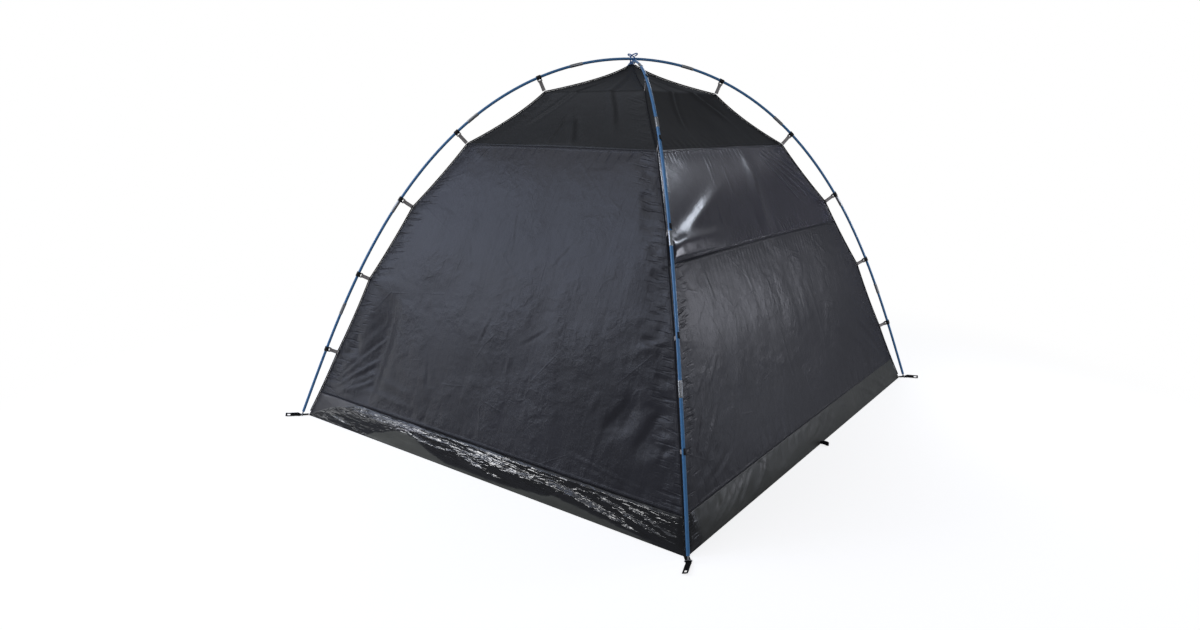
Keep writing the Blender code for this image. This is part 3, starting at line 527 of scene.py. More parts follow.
def wall_grid(side, low, high, relief, cell=CLOTH_CELL):
    """The points of a wall between two heights with its folds, and the numbers that go with them."""
    columns = 2 * int(half_width(side, low) / cell) + 1
    rows = int((high - low) * WALL_LEAN / cell) + 1
    across, height = np.meshgrid(np.linspace(-1, 1, columns), np.linspace(low, high, rows))
    smooth = side_points(side, across, height)
    normal = outward_normals(smooth)
    along = across * half_width(side, height)
    up = running_length(smooth)
    to_ridge = (1 - np.abs(across)) * half_width(side, height) * RIDGE_LEAN
    to_top, to_foot = up[-1] - up, up
    still = ease(to_ridge / 0.02) * ease(to_top / 0.015) * ease(to_foot / 0.015)
    points = smooth + normal * (relief(along, height, to_ridge, to_top, to_foot) * still)[..., None]
    flat_map = np.stack([along, up], axis=-1)
    return points, flat_map, {"to_ridge": to_ridge, "to_top": to_top, "to_foot": to_foot}, smooth


def add_wall(name, side, low, high, relief, material, body="tent", node_name=None):
    points, flat_map, distances, smooth = wall_grid(side, low, high, relief)
    rows, columns = points.shape[:2]
    faces = grid_faces(rows, columns)
    wall = sheet_object(name, points.reshape(-1, 3), faces)
    add_maps(wall.data, flat_map.reshape(-1, 2), **distances)
    thicken(wall)
    wall.data.materials.append(material)
    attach(wall, body)
    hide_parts(node_name or name)
    area = face_area(smooth.reshape(-1, 3), faces)
    print(name, "cut from", round(area, 3), "square metres,", triangles(wall), "triangles")
    return wall


# %% [markdown]
# ## Light, world and floor
#
# The picture was taken in a white room. The background is pure white, and the light
# is broad and soft, from the upper left, so the tent's front face is lightest near
# its upper left and both faces darken to the right. The world is white to the
# camera alone, and greyer as a light, so that it doesn't wash the dark cloth out.

# %% The world
world = bpy.data.worlds.new("white_room")
bpy.context.scene.world = world
world.use_nodes = True
AMBIENT = 0.21
sky_tree = world.node_tree
sky_tree.nodes.clear()
rays = sky_tree.nodes.new("ShaderNodeLightPath")
room_light = sky_tree.nodes.new("ShaderNodeBackground")
room_light.inputs["Color"].default_value = colour("#E9EDF5")
room_light.inputs["Strength"].default_value = AMBIENT
seen_white = sky_tree.nodes.new("ShaderNodeBackground")
seen_white.inputs["Color"].default_value = (1, 1, 1, 1)
choose = sky_tree.nodes.new("ShaderNodeMixShader")
sky_out = sky_tree.nodes.new("ShaderNodeOutputWorld")
sky_tree.links.new(rays.outputs["Is Camera Ray"], choose.inputs["Fac"])
sky_tree.links.new(room_light.outputs["Background"], choose.inputs[1])
sky_tree.links.new(seen_white.outputs["Background"], choose.inputs[2])
sky_tree.links.new(choose.outputs["Shader"], sky_out.inputs["Surface"])


# %% [markdown]
# The lamps are softboxes. The large ones light the whole tent. The small ones stand for bright things that
# the glossy cloth mirrors. One function makes a softbox, and a table lists them all.

# %% The lamps
def add_softbox(name, place, aim, width, height, power, tint):
    """A flat lamp that faces a point."""
    lamp = bpy.data.objects.new(name, bpy.data.lights.new(name, "AREA"))
    bpy.context.scene.collection.objects.link(lamp)
    lamp.data.shape = "RECTANGLE"
    lamp.data.size = width
    lamp.data.size_y = height
    lamp.data.energy = power
    lamp.data.color = colour(tint)[:3]
    lamp.visible_camera = False
    place, aim = Vector(place), Vector(aim)
    lamp.location = place
    lamp.rotation_euler = (aim - place).to_track_quat("-Z", "Y").to_euler()
    return lamp


# Name, place, point it faces, width and height in metres, power in watts, and tint.
LAMPS = [
    ("key_softbox", (-4.0, -3.7, 3.5), (-0.1, -0.6, 0.8), 2.6, 3.6, 69, "#D4E0FC"),
    ("front_softbox", (-1.6, -5.0, 4.0), (0, -0.8, 0.7), 2.4, 2.4, 19, "#E4EAF8"),
    ("left_softbox", (-5.6, -2.2, 3.0), (0, -0.8, 0.7), 2.6, 2.6, 8, "#E4EAF8"),
    ("side_softbox", (3.8, -2.2, 3.0), (0.6, -0.4, 0.7), 1.4, 1.4, 7.5, "#E8E4EE"),
    ("top_softbox", (-1.8, -1.8, 4.8), (0, -0.5, 0.8), 2.4, 2.4, 17, "#ECEFF8"),
    ("back_softbox", (-2.2, 4.8, 3.2), (0, 0.9, 0.7), 2.4, 2.4, 26, "#E8ECF6"),
    ("glow_softbox", (2.3, 1.6, 1.15), (0.85, -0.5, 0.75), 0.6, 0.6, 9, "#E2E4F0"),
    ("glow_low_softbox", (2.9, 1.6, 0.5), (0.9, -0.6, 0.4), 0.7, 0.7, 2, "#DCE4F6"),
    ("vent_softbox", (1.5, 1.6, 2.6), (0.65, -0.4, 1.05), 0.42, 0.42, 11, "#E4ECFA"),
    ("streak_softbox", (-3.4, -4.6, 2.6), (0.2, -1.2, 0.1), 0.34, 0.34, 6.5, "#FFFFFF"),
    ("vent_halo_softbox", (1.5, 1.6, 2.5), (0.65, -0.4, 1.05), 1.1, 1.1, 1.2, "#E4ECFA"),
    ("vent_soft_softbox", (1.1, 1.6, 2.0), (0.65, -0.2, 1.05), 0.55, 0.55, 0.17, "#F0EEF4"),
    ("edge_softbox", (-3.4, -4.6, 2.6), (0.2, -1.2, 0.1), 0.8, 0.8, 36, "#FFFFFF"),
    ("edge_right_softbox", (-1.55, -4.6, 3.0), (0.85, -1.2, 0.05), 0.55, 0.55, 17, "#FFFFFF"),
    ("edge_left_softbox", (-4.9, -4.6, 2.7), (-0.5, -1.2, 0.08), 0.6, 0.6, 17, "#FFFFFF"),
    ("low_softbox", (-4.6, -3.6, 0.7), (0, -0.6, 0.7), 1.6, 0.8, 11, "#F4F6FA"),
]
lamps = {row[0]: add_softbox(*row) for row in LAMPS}
print(len(lamps), "lamps,", round(sum(row[5] for row in LAMPS), 1), "watts in all")

# %% [markdown]
# The floor is one large pale sheet. It keeps the tent's soft shadow. To the camera it adds a little light
# of its own, so that away from the tent it is as white as the background, with no edge between them.

# %% The floor
only(bpy.data.objects["camera"])
bpy.ops.mesh.primitive_plane_add(size=60, location=(0, 0, -0.0006))
floor = bpy.context.object
floor.name = "white_floor"
floor_material, floor_shader = new_material("floor_white")
floor_shader.inputs["Base Color"].default_value = colour("#D8D8D8")
floor_shader.inputs["Roughness"].default_value = 0.9
floor_shader.inputs["Specular IOR Level"].default_value = 0.1
floor_rays = node(floor_material, "LightPath")
floor_place = node(floor_material, "TexCoord")
floor_reach = node(floor_material, "VectorMath", {0: floor_place.outputs["Object"]}, operation="LENGTH")
floor_far = rescale(floor_material, floor_reach.outputs["Value"], 1.7, 3.2, 0.0, 1.0, smooth=True)
floor_seen_far = calculate(floor_material, "MULTIPLY", floor_far, floor_rays.outputs["Is Camera Ray"])
floor_glow = calculate(floor_material, "MULTIPLY", floor_rays.outputs["Is Camera Ray"], 0.76)
floor_white = node(floor_material, "Emission", {"Color": (1, 1, 1, 1), "Strength": 1.0})
floor_shader.inputs["Emission Color"].default_value = (1, 1, 1, 1)
link(floor_material, floor_glow, floor_shader.inputs["Emission Strength"])
floor_mix = node(floor_material, "MixShader", {"Fac": floor_seen_far})
link(floor_material, floor_shader.outputs["BSDF"], floor_mix.inputs[1])
link(floor_material, floor_white.outputs["Emission"], floor_mix.inputs[2])
link(floor_material, floor_mix.outputs["Shader"],
     floor_material.node_tree.nodes["Material Output"].inputs["Surface"])
floor.data.materials.append(floor_material)

# %% [markdown]
# ## Materials
#
# The tent's cloth is a light, closely woven polyester with a water-repellent finish. Its thread is dull,
# but the finish gives a broad satin shine, so folds show as soft light and dark bands. The same steps make
# the wall cloth, the shinier vent cloth and the dark cap cloth, with their own colours and shine, so one
# function makes all three.

# %% Tent cloth
# The bands of a wave texture repeat every 0.314 / scale metres, so threads at this scale lie 2 mm apart.
BAND_STEP, THREAD_SCALE = 0.314, 160.0
# The hem's dark tone fades out between these distances from the seam, and the stitches lie at this one.
HEM_FADE, STITCH_DISTANCE = (0.011, 0.013), 0.009
WEAVE_HEIGHT, HEM_HEIGHT = 0.00004, 0.0006


def tent_cloth(name, plain, faded, roughness, sheen, crumple, gathered):
    """Woven polyester: two close tones, fine creases, a hint of weave, and a stitched hem at each seam."""
    material, shader = new_material(name)
    metres = node(material, "UVMap", uv_map="metres")
    place = node(material, "TexCoord")
    tone = noise(material, place.outputs["Object"], 2.6, 3.0)
    # Real threads are about a quarter of a millimetre apart. They are drawn 2 mm apart, so that they show.
    threads = node(material, "TexWave",
                   {"Vector": metres.outputs["UV"], "Scale": THREAD_SCALE, "Distortion": 0.0},
                   wave_type="BANDS", bands_direction="X")
    picks = node(material, "TexWave",
                 {"Vector": metres.outputs["UV"], "Scale": THREAD_SCALE, "Distortion": 0.0},
                 wave_type="BANDS", bands_direction="Y")
    weave = calculate(material, "MULTIPLY", threads.outputs["Fac"], picks.outputs["Fac"])
    tones = two_tones(material, tone.outputs["Fac"], plain, faded, 0.35, 0.7)
    # One line of stitches runs beside each seam, 9 mm from it, and a doubled hem is a little darker.
    ridge = node(material, "Attribute", attribute_name="to_ridge")
    top = node(material, "Attribute", attribute_name="to_top")
    foot = node(material, "Attribute", attribute_name="to_foot")
    ends = calculate(material, "MINIMUM", top.outputs["Fac"], foot.outputs["Fac"])
    seam = calculate(material, "MINIMUM", ridge.outputs["Fac"], ends)
    hem = rescale(material, seam, *HEM_FADE, 1.0, 0.0)
    hem_tone = node(material, "Mix", {"Factor": hem, "A": (1, 1, 1, 1), "B": (0.82, 0.82, 0.84, 1)},
                    data_type="RGBA")
    finish = node(material, "Mix", {"Factor": 1.0, "A": tones, "B": hem_tone.outputs[2]}, data_type="RGBA",
                  blend_type="MULTIPLY")
    link(material, finish.outputs[2], shader.inputs["Base Color"])
    # Small creases lie where a noise crosses its middle, in patches. All heights below are in metres.
    crumpled = noise(material, place.outputs["Object"], 11.0, 1.0, Roughness=0.4, Distortion=0.0)
    off_middle = calculate(material, "SUBTRACT", crumpled.outputs["Fac"], 0.5)
    crumple_line = node(material, "Math", {0: off_middle}, operation="ABSOLUTE")
    crumple_fold = rescale(material, crumple_line.outputs["Value"], 0.0, 0.05, crumple * 0.3, 0.0)
    patches = noise(material, place.outputs["Object"], 5.5, 2.0)
    patch = rescale(material, patches.outputs["Fac"], 0.52, 0.62, 0.0, 1.0)
    cell_patch = calculate(material, "MULTIPLY", crumple_fold, patch)
    # Where the wall is gathered into a ridge, small hollows of about 110 by 18 mm lie side by side.
    ridge_lie = node(material, "Mapping", {"Vector": metres.outputs["UV"], "Scale": (9.0, 56.0, 1.0)})
    ridge_noise = noise(material, ridge_lie.outputs["Vector"], 1.0, 2.0, Roughness=0.4)
    ridge_lens = rescale(material, ridge_noise.outputs["Fac"], 0.52, 0.74, 0.0, -gathered, smooth=True)
    ridge_near = rescale(material, ridge.outputs["Fac"], 0.04, 0.12, 1.0, 0.0, smooth=True)
    ridge_lenses = calculate(material, "MULTIPLY", ridge_lens, ridge_near)
    # Long straight lines are left where the cloth was folded for its bag.
    fold_cells = node(material, "TexVoronoi", {"Vector": place.outputs["Object"], "Scale": 3.4},
                      feature="DISTANCE_TO_EDGE")
    fold_line = rescale(material, fold_cells.outputs["Distance"], 0.0, 0.016, crumple * 0.3, 0.0)
    fold_where = noise(material, place.outputs["Object"], 4.3, 1.0)
    fold_part = rescale(material, fold_where.outputs["Fac"], 0.48, 0.58, 0.0, 1.0)
    fold_lines = calculate(material, "MULTIPLY", fold_line, fold_part)
    unevenness = noise(material, place.outputs["Object"], 16.0, 5.0, Roughness=0.6)
    uneven_part = rescale(material, patches.outputs["Fac"], 0.42, 0.62, crumple * 1.5, crumple * 4.2)
    uneven = calculate(material, "MULTIPLY", unevenness.outputs["Fac"], uneven_part)
    # Slubs: here and there a thicker thread runs up the cloth, in lines about 17 mm apart and 0.4 m long.
    slub_lie = node(material, "Mapping", {"Vector": metres.outputs["UV"], "Scale": (60.0, 2.5, 1.0)})
    slubs = noise(material, slub_lie.outputs["Vector"], 1.0, 3.0)
    slub_height = calculate(material, "MULTIPLY", slubs.outputs["Fac"], crumple * 0.6)
    weave_height = calculate(material, "MULTIPLY", weave, WEAVE_HEIGHT)
    hem_height = calculate(material, "MULTIPLY", hem, HEM_HEIGHT)
    stitch_row = calculate(material, "SUBTRACT", seam, STITCH_DISTANCE)
    stitch_off = node(material, "Math", {0: stitch_row}, operation="ABSOLUTE")
    stitch = rescale(material, stitch_off.outputs["Value"], 0.0005, 0.0016, -0.0005, 0.0)
    total = cell_patch
    for extra in (ridge_lenses, fold_lines, uneven, slub_height, weave_height, hem_height, stitch):
        total = calculate(material, "ADD", total, extra)
    emboss(material, shader, total, 1.0, 1.0)
    shader.inputs["Roughness"].default_value = roughness
    shader.inputs["IOR"].default_value = 1.5
    shader.inputs["Sheen Weight"].default_value = sheen
    shader.inputs["Sheen Roughness"].default_value = 0.45
    shader.inputs["Sheen Tint"].default_value = colour("#C9CEDA")
    return material


wall_cloth = tent_cloth("wall_polyester_cloth", "#2B2A30", "#323138", 0.38, 0.10, 0.0013, 0.0030)
vent_cloth = tent_cloth("vent_polyester_cloth", "#2E2C34", "#37353D", 0.18, 0.08, 0.0003, 0.0)
cap_cloth = tent_cloth("cap_polyester_cloth", "#18191A", "#1F2021", 0.46, 0.04, 0.0007, 0.0008)

# %% [markdown]
# The groundsheet is a heavier coated cloth: stiffer, smoother and a little shiny on its outside, so it
# crinkles like thin card instead of folding softly.

# %% Groundsheet
ground_cloth, ground_shader = new_material("groundsheet_coated")
ground_place = node(ground_cloth, "TexCoord")
ground_metres = node(ground_cloth, "UVMap", uv_map="metres")
ground_slick = node(ground_cloth, "Attribute", attribute_name="slick")
ground_tone = noise(ground_cloth, ground_place.outputs["Object"], 4.0, 4.0)
ground_tones = two_tones(ground_cloth, ground_tone.outputs["Fac"], "#4A4B47", "#595A54", 0.3, 0.75)
ground_both = node(ground_cloth, "Mix", {"Factor": ground_slick.outputs["Fac"], "A": ground_tones,
                                         "B": colour("#1D1D1F")}, data_type="RGBA")
ground_over = node(ground_cloth, "Attribute", attribute_name="wall_like")
ground_base = node(ground_cloth, "Mix", {"Factor": ground_over.outputs["Fac"], "A": ground_both.outputs[2],
                                         "B": colour("#2E2D33")}, data_type="RGBA")
link(ground_cloth, ground_base.outputs[2], ground_shader.inputs["Base Color"])
# The crinkles are drawn out along the edge, about 110 mm long and 17 mm high.
ground_stretch = node(ground_cloth, "Mapping",
                      {"Vector": ground_metres.outputs["UV"], "Scale": (9.0, 60.0, 1.0)})
ground_wander = noise(ground_cloth, ground_metres.outputs["UV"], 30.0, 2.0)
ground_pulled = node(ground_cloth, "Mix", {"Factor": 0.35, "A": ground_stretch.outputs["Vector"],
                                           "B": ground_wander.outputs["Color"]}, data_type="VECTOR")
ground_cells = node(ground_cloth, "TexVoronoi", {"Vector": ground_pulled.outputs[1], "Scale": 1.0},
                    feature="DISTANCE_TO_EDGE")
ground_fine = node(ground_cloth, "TexVoronoi", {"Vector": ground_pulled.outputs[1], "Scale": 2.6},
                   feature="DISTANCE_TO_EDGE")
ground_fold = rescale(ground_cloth, ground_cells.outputs["Distance"], 0.0, 0.35, 0.0010, 0.0)
ground_crease = rescale(ground_cloth, ground_fine.outputs["Distance"], 0.0, 0.3, 0.0005, 0.0)
ground_all = calculate(ground_cloth, "ADD", ground_fold, ground_crease)
ground_share = rescale(ground_cloth, ground_slick.outputs["Fac"], 0.0, 1.0, 0.10, 1.0)
ground_height = calculate(ground_cloth, "MULTIPLY", ground_all, ground_share)
emboss(ground_cloth, ground_shader, ground_height, 1.0, 1.0)
ground_rough = rescale(ground_cloth, ground_slick.outputs["Fac"], 0.0, 1.0, 0.42, 0.13)
link(ground_cloth, ground_rough, ground_shader.inputs["Roughness"])
ground_shader.inputs["IOR"].default_value = 1.5

# %% [markdown]
# The rest of the materials are small: glass fibre with a blue lacquer for
# the rods, bright steel for the sleeves that join them, black nylon for the
# hooks, grey webbing for the straps and black webbing for the corner straps.

# %% Blue lacquered glass fibre
rod_blue, rod_shader = new_material("fibreglass_blue")
rod_place = node(rod_blue, "TexCoord")
rod_noise = noise(rod_blue, rod_place.outputs["Object"], 60.0, 4.0)
rod_tones = two_tones(rod_blue, rod_noise.outputs["Fac"], "#4486BE", "#5C9FD8")
link(rod_blue, rod_tones, rod_shader.inputs["Base Color"])
emboss(rod_blue, rod_shader, rod_noise.outputs["Fac"], 0.15, 0.0004)
rod_shader.inputs["Roughness"].default_value = 0.28
rod_shader.inputs["Coat Weight"].default_value = 0.6
rod_shader.inputs["Coat Roughness"].default_value = 0.12


# %% [markdown]
# Sleeves, pins, hooks, slider and cord are small. Two close tones with a fine grain, and the right
# roughness, are enough for each, so one function makes them all.

# %% Steel, nylon and cord
def plain_finish(name, dark, light, roughness, metallic=0.0, grain_scale=300.0, grain_depth=0.0001):
    """A finish of two close tones with a fine grain, for small hard pieces."""
    material, shader = new_material(name)
    place = node(material, "TexCoord")
    grain = noise(material, place.outputs["Object"], grain_scale, 4.0)
    link(material, two_tones(material, grain.outputs["Fac"], dark, light), shader.inputs["Base Color"])
    emboss(material, shader, grain.outputs["Fac"], 0.5, grain_depth)
    shader.inputs["Roughness"].default_value = roughness
    shader.inputs["Metallic"].default_value = metallic
    return material


sleeve_steel = plain_finish("sleeve_steel", "#AEB2B5", "#C9CCCE", 0.24, 1.0, 180.0, 0.00005)
pin_steel = plain_finish("pin_wire_steel", "#B4B6B8", "#CDD0D2", 0.28, 1.0, 180.0, 0.00005)
hook_nylon = plain_finish("hook_nylon", "#131416", "#1C1E20", 0.42, 0.0, 700.0, 0.0001)
slider_dark = plain_finish("slider_metal_dark", "#242628", "#34373A", 0.35, 1.0, 250.0, 0.00005)
cord_blue = plain_finish("tie_cord_blue", "#1E5C9C", "#2F7CC4", 0.6, 0.0, 900.0, 0.0004)


# %% [markdown]
# Webbing is woven in a narrow strip. Its ribs run straight across it. Two crossed
# waves draw ribs and threads, and the distance from the edge gives each edge a tone that is painted shade.

# %% Webbing and tape
def webbing(name, body, thread, edge, rib, edge_width, roughness=0.85):
    """Woven tape: ribs straight across it, close threads along it, and along each edge a tone of painted
    shade.
    """
    material, shader = new_material(name)
    metres = node(material, "UVMap", uv_map="metres")
    ribs = node(material, "TexWave",
                {"Vector": metres.outputs["UV"], "Scale": BAND_STEP / rib, "Distortion": 0.4, "Detail": 1.0},
                wave_type="BANDS", bands_direction="Y")
    threads = node(material, "TexWave", {"Vector": metres.outputs["UV"], "Scale": BAND_STEP / (rib * 0.8),
                                         "Distortion": 0.2}, wave_type="BANDS", bands_direction="X")
    woven = calculate(material, "MULTIPLY", ribs.outputs["Fac"], threads.outputs["Fac"])
    tones = two_tones(material, woven, body, thread)
    away = node(material, "Attribute", attribute_name="to_edge")
    # The tone along each edge is painted shade, where the strip's sides turn away from the light.
    painted_edge_shade = rescale(material, away.outputs["Fac"], edge_width * 0.7, edge_width, 1.0, 0.0)
    both = node(material, "Mix", {"Factor": painted_edge_shade, "A": tones, "B": colour(edge)}, data_type="RGBA")
    link(material, both.outputs[2], shader.inputs["Base Color"])
    emboss(material, shader, woven, 0.8, 0.00025)
    shader.inputs["Roughness"].default_value = roughness
    shader.inputs["Specular IOR Level"].default_value = 0.25
    return material


# Real ribs are a little under a millimetre apart. They are drawn 1.6 mm apart, and 1.2 mm on the bindings,
# so that a close view shows them.
# The grey straps' dark edge tone, #4A4846, is painted shade along their sides.
strap_grey = webbing("strap_webbing_grey", "#B4ADA8", "#D2CBC6", "#4A4846", 0.0016, 0.0012)
foot_black = webbing("foot_webbing_black", "#0D0E0F", "#1C1D1F", "#101112", 0.0016, 0.0012)
binding_dark = webbing("ridge_binding_dark", "#232327", "#34343A", "#1C1C1F", 0.0012, 0.0006)
# The zip's tape has ribs 1.5 mm apart all over, which stand for its coil.
zip_black = webbing("zip_tape_black", "#151517", "#2C2C2F", "#0F0F10", 0.0015, 0.0008)

# %% [markdown]
# ## The tie at the crossing
#
# One thin cord is wound once round both poles where they cross and tied in a bow on top. It is a single
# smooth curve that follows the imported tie's route.

# %% The tie
TIE_DIAMETER = 0.0055
BOW_REACH, BOW_RISE, BOW_DEPTH = 0.034, 0.015, 0.007
cord_gap = TIE_DIAMETER / 2 + TOUCH_GAP
tie_wide = POLE_RADIUS / min(ALONG_X, ALONG_Y) + cord_gap
tie_top = CROSSING_HEIGHT + 2 * LIFT + cord_gap
tie_low = CROSSING_HEIGHT - 2 * LIFT - cord_gap
tie_route = [
    (-BOW_REACH * 0.35, BOW_DEPTH, tie_top + 0.1 * BOW_RISE),
    (-BOW_REACH, BOW_DEPTH, tie_top + 0.55 * BOW_RISE),
    (-BOW_REACH * 0.8, BOW_DEPTH * 0.6, tie_top + BOW_RISE),
    (-BOW_REACH * 0.3, 0, tie_top + 0.65 * BOW_RISE),
    (0.2 * tie_wide, 0, tie_top + 0.1 * BOW_RISE), (tie_wide, 0, tie_top - cord_gap),
    (tie_wide, 0, tie_low + cord_gap), (0.5 * tie_wide, 0, tie_low),
    (-0.5 * tie_wide, 0, tie_low), (-tie_wide, 0, tie_low + cord_gap),
    (-tie_wide, 0, tie_top - cord_gap), (-0.5 * tie_wide, -BOW_DEPTH, tie_top + 0.3 * BOW_RISE),
    (BOW_REACH * 0.3, -BOW_DEPTH, tie_top + 0.7 * BOW_RISE),
    (BOW_REACH * 0.8, -BOW_DEPTH, tie_top + BOW_RISE),
    (BOW_REACH, -BOW_DEPTH, tie_top + 0.6 * BOW_RISE),
    (BOW_REACH * 0.5, -BOW_DEPTH, tie_top + 0.15 * BOW_RISE),
]
tie_curve = bpy.data.curves.new("tie", "CURVE")
tie_curve.dimensions = "3D"
tie_curve.bevel_depth = TIE_DIAMETER / 2
tie_curve.bevel_resolution = 4
tie_curve.use_fill_caps = True
tie_spline = tie_curve.splines.new("NURBS")
tie_spline.points.add(len(tie_route) - 1)
for point, place in zip(tie_spline.points, tie_route):
    point.co = (*place, 1)
tie_spline.order_u = 3
tie_spline.use_endpoint_u = True
tie_spline.resolution_u = 8
tie = bpy.data.objects.new("tie_bow", tie_curve)
bpy.context.scene.collection.objects.link(tie)
tie.data.materials.append(cord_blue)
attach(tie, "tent")
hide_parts("crossing_tie")

# %% [markdown]
# ## Poles
#
# Each pole is nine short rods, joined by steel sleeves. One rod is modelled straight,
# as it is made: a round bar with softened ends, cut across at many places so that it
# can bend. It is copied nine times, each copy is moved to its place along the pole,
# and a curve in the shape of the arch bends it. The sleeves are made the same way.

# %% One straight rod and one sleeve
RODS_PER_POLE = 9
FERRULE_LENGTH, FERRULE_WALL = 0.060, 0.0009
FERRULE_RADIUS = POLE_RADIUS + SLIP_CLEARANCE + FERRULE_WALL


def straight_rod(length):
    """A round bar along X that starts at the origin."""
    bpy.ops.mesh.primitive_cylinder_add(vertices=24, radius=POLE_RADIUS, depth=length,
                                        location=(length / 2, 0, 0), rotation=(0, math.pi / 2, 0))
    rod = bpy.context.object
    bpy.ops.object.transform_apply(location=True, rotation=True, scale=True)
    edges = rod.modifiers.new("soft_ends", "BEVEL")
    edges.width = 0.0008
    edges.segments = 2
    edges.limit_method = "ANGLE"
    apply_modifiers(rod)
    slice_up(rod, 0.02, length - 0.02, 24)
    return rod


def slice_up(thing, start, end, cuts):
    """Cuts a piece across X at even steps, so that it can bend."""
    only(thing)
    bpy.ops.object.mode_set(mode="EDIT")
    for i in range(cuts + 1):
        bpy.ops.mesh.select_all(action="SELECT")
        bpy.ops.mesh.bisect(plane_co=(start + (end - start) * i / cuts, 0, 0), plane_no=(1, 0, 0))
    bpy.ops.object.mode_set(mode="OBJECT")


def straight_sleeve():
    """A thin steel tube along X, its middle at the origin, with its ends rolled in."""
    bpy.ops.mesh.primitive_cylinder_add(vertices=24, radius=FERRULE_RADIUS, depth=FERRULE_LENGTH,
                                        end_fill_type="NGON", location=(0, 0, 0),
                                        rotation=(0, math.pi / 2, 0))
    sleeve = bpy.context.object
    bpy.ops.object.transform_apply(location=True, rotation=True, scale=True)
    edges = sleeve.modifiers.new("rolled_ends", "BEVEL")
    edges.width = 0.0010
    edges.segments = 3
    edges.limit_method = "ANGLE"
    apply_modifiers(sleeve)
    slice_up(sleeve, -FERRULE_LENGTH / 2 + 0.008, FERRULE_LENGTH / 2 - 0.008, 4)
    return sleeve


# %% [markdown]
# A real rod bends when it is pushed into its arch. A curve modifier does the same here: the rod lies along
# X, and the modifier carries it along a guide in the shape of the arch.

# %% The arch that bends them
GUIDE_POINTS = 361


def arch_guide(pole):
    """A curve along a pole's centre line, from its first foot to its last."""
    guide = bpy.data.curves.new("arch_" + pole, "CURVE")
    guide.dimensions = "3D"
    guide.twist_mode = "Z_UP"
    total = 2 * POLES[pole][0][-1, 0]
    line = guide.splines.new("POLY")
    line.points.add(GUIDE_POINTS - 1)
    for i, point in enumerate(line.points):
        point.co = (*pole_frame(pole, total * i / (GUIDE_POINTS - 1))[0], 1)
    thing = bpy.data.objects.new("arch_" + pole, guide)
    bpy.context.scene.collection.objects.link(thing)
    return thing


def bend(thing, guide):
    change = thing.modifiers.new("bend", "CURVE")
    change.object = guide
    change.deform_axis = "POS_X"
    return apply_modifiers(thing)


def copy_of(thing, name):
    """A copy with a mesh of its own."""
    made = thing.copy()
    made.data = thing.data.copy()
    made.name = name
    bpy.context.scene.collection.objects.link(made)
    return made


def shift(thing, *offset):
    thing.data.transform(Matrix.Translation(offset))
    return thing


for pole in POLES:
    guide = arch_guide(pole)
    total = 2 * POLES[pole][0][-1, 0]
    length = total / RODS_PER_POLE
    rod_master = straight_rod(length - 2 * TOUCH_GAP)
    sleeve_master = straight_sleeve()
    for index in range(RODS_PER_POLE):
        rod = copy_of(rod_master, f"rod_{pole}_{index + 1}")
        bend(shift(rod, index * length + TOUCH_GAP, 0, 0), guide)
        rod.data.materials.append(rod_blue)
        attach(rod, "tent")
        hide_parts(f"pole_{pole}_rod_{index + 1}")
        if index < RODS_PER_POLE - 1:
            sleeve = copy_of(sleeve_master, f"sleeve_{pole}_{index + 1}")
            bend(shift(sleeve, (index + 1) * length, 0, 0), guide)
            sleeve.data.materials.append(sleeve_steel)
            shade_by_angle(sleeve)
            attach(sleeve, "tent")
        shade_by_angle(rod)
    for spare in (guide, rod_master, sleeve_master):
        bpy.data.objects.remove(spare)
    print("pole", pole, "has", RODS_PER_POLE, "rods of", round(length, 4))


# %% [markdown]
# ## Walls
#
# On the two walls that the picture shows, the main folds are placed where it has them, in metres along the
# wall from its middle, and up. Smaller ones are scattered by seeded random numbers.

# %% Folds of the front wall
def ridge_fans(along, height, side, seed, depth=0.0022, spokes=7):
    """A fan of small folds from each strap on both ridges."""
    total = np.zeros_like(along)
    chance = np.random.default_rng(seed)
    for strap_height in RIDGE_Z[1:5]:
        edge = float(half_width(side, np.array([strap_height]))[0])
        for hand in (-1, 1):
            heading = 180 if hand > 0 else 0
            heading += chance.uniform(-12, 12)
            total += fan(along, height, (hand * edge, float(strap_height)), heading,
                         spokes + chance.uniform(-1, 1), 0.16 + chance.uniform(-0.03, 0.05),
                         depth * chance.uniform(0.6, 1.1), chance.uniform(0, 6))
    return total


def corner_fan(along, height, hand, seed, count=9, depth=0.0035):
    """Long shallow folds that spread up from a bottom corner, where the floor pulls the wall taut."""
    chance = np.random.default_rng(seed)
    edge = hand * 0.97 * float(np.abs(along[0]).max())
    total = np.zeros_like(along)
    for i in range(count):
        angle = math.radians(12 + 60 * (i + chance.uniform(-0.3, 0.3)) / count)
        start = chance.uniform(0.03, 0.12)
        length = chance.uniform(0.22, 0.55)
        dx, dz = -hand * math.cos(angle), math.sin(angle)
        total += crease(along, height, (edge + dx * start, TUB_HEIGHT + dz * start),
                        (edge + dx * (start + length), TUB_HEIGHT + dz * (start + length)),
                        chance.uniform(0.008, 0.018), depth * chance.uniform(0.35, 1.0),
                        bow=chance.uniform(-0.02, 0.02))
    return total


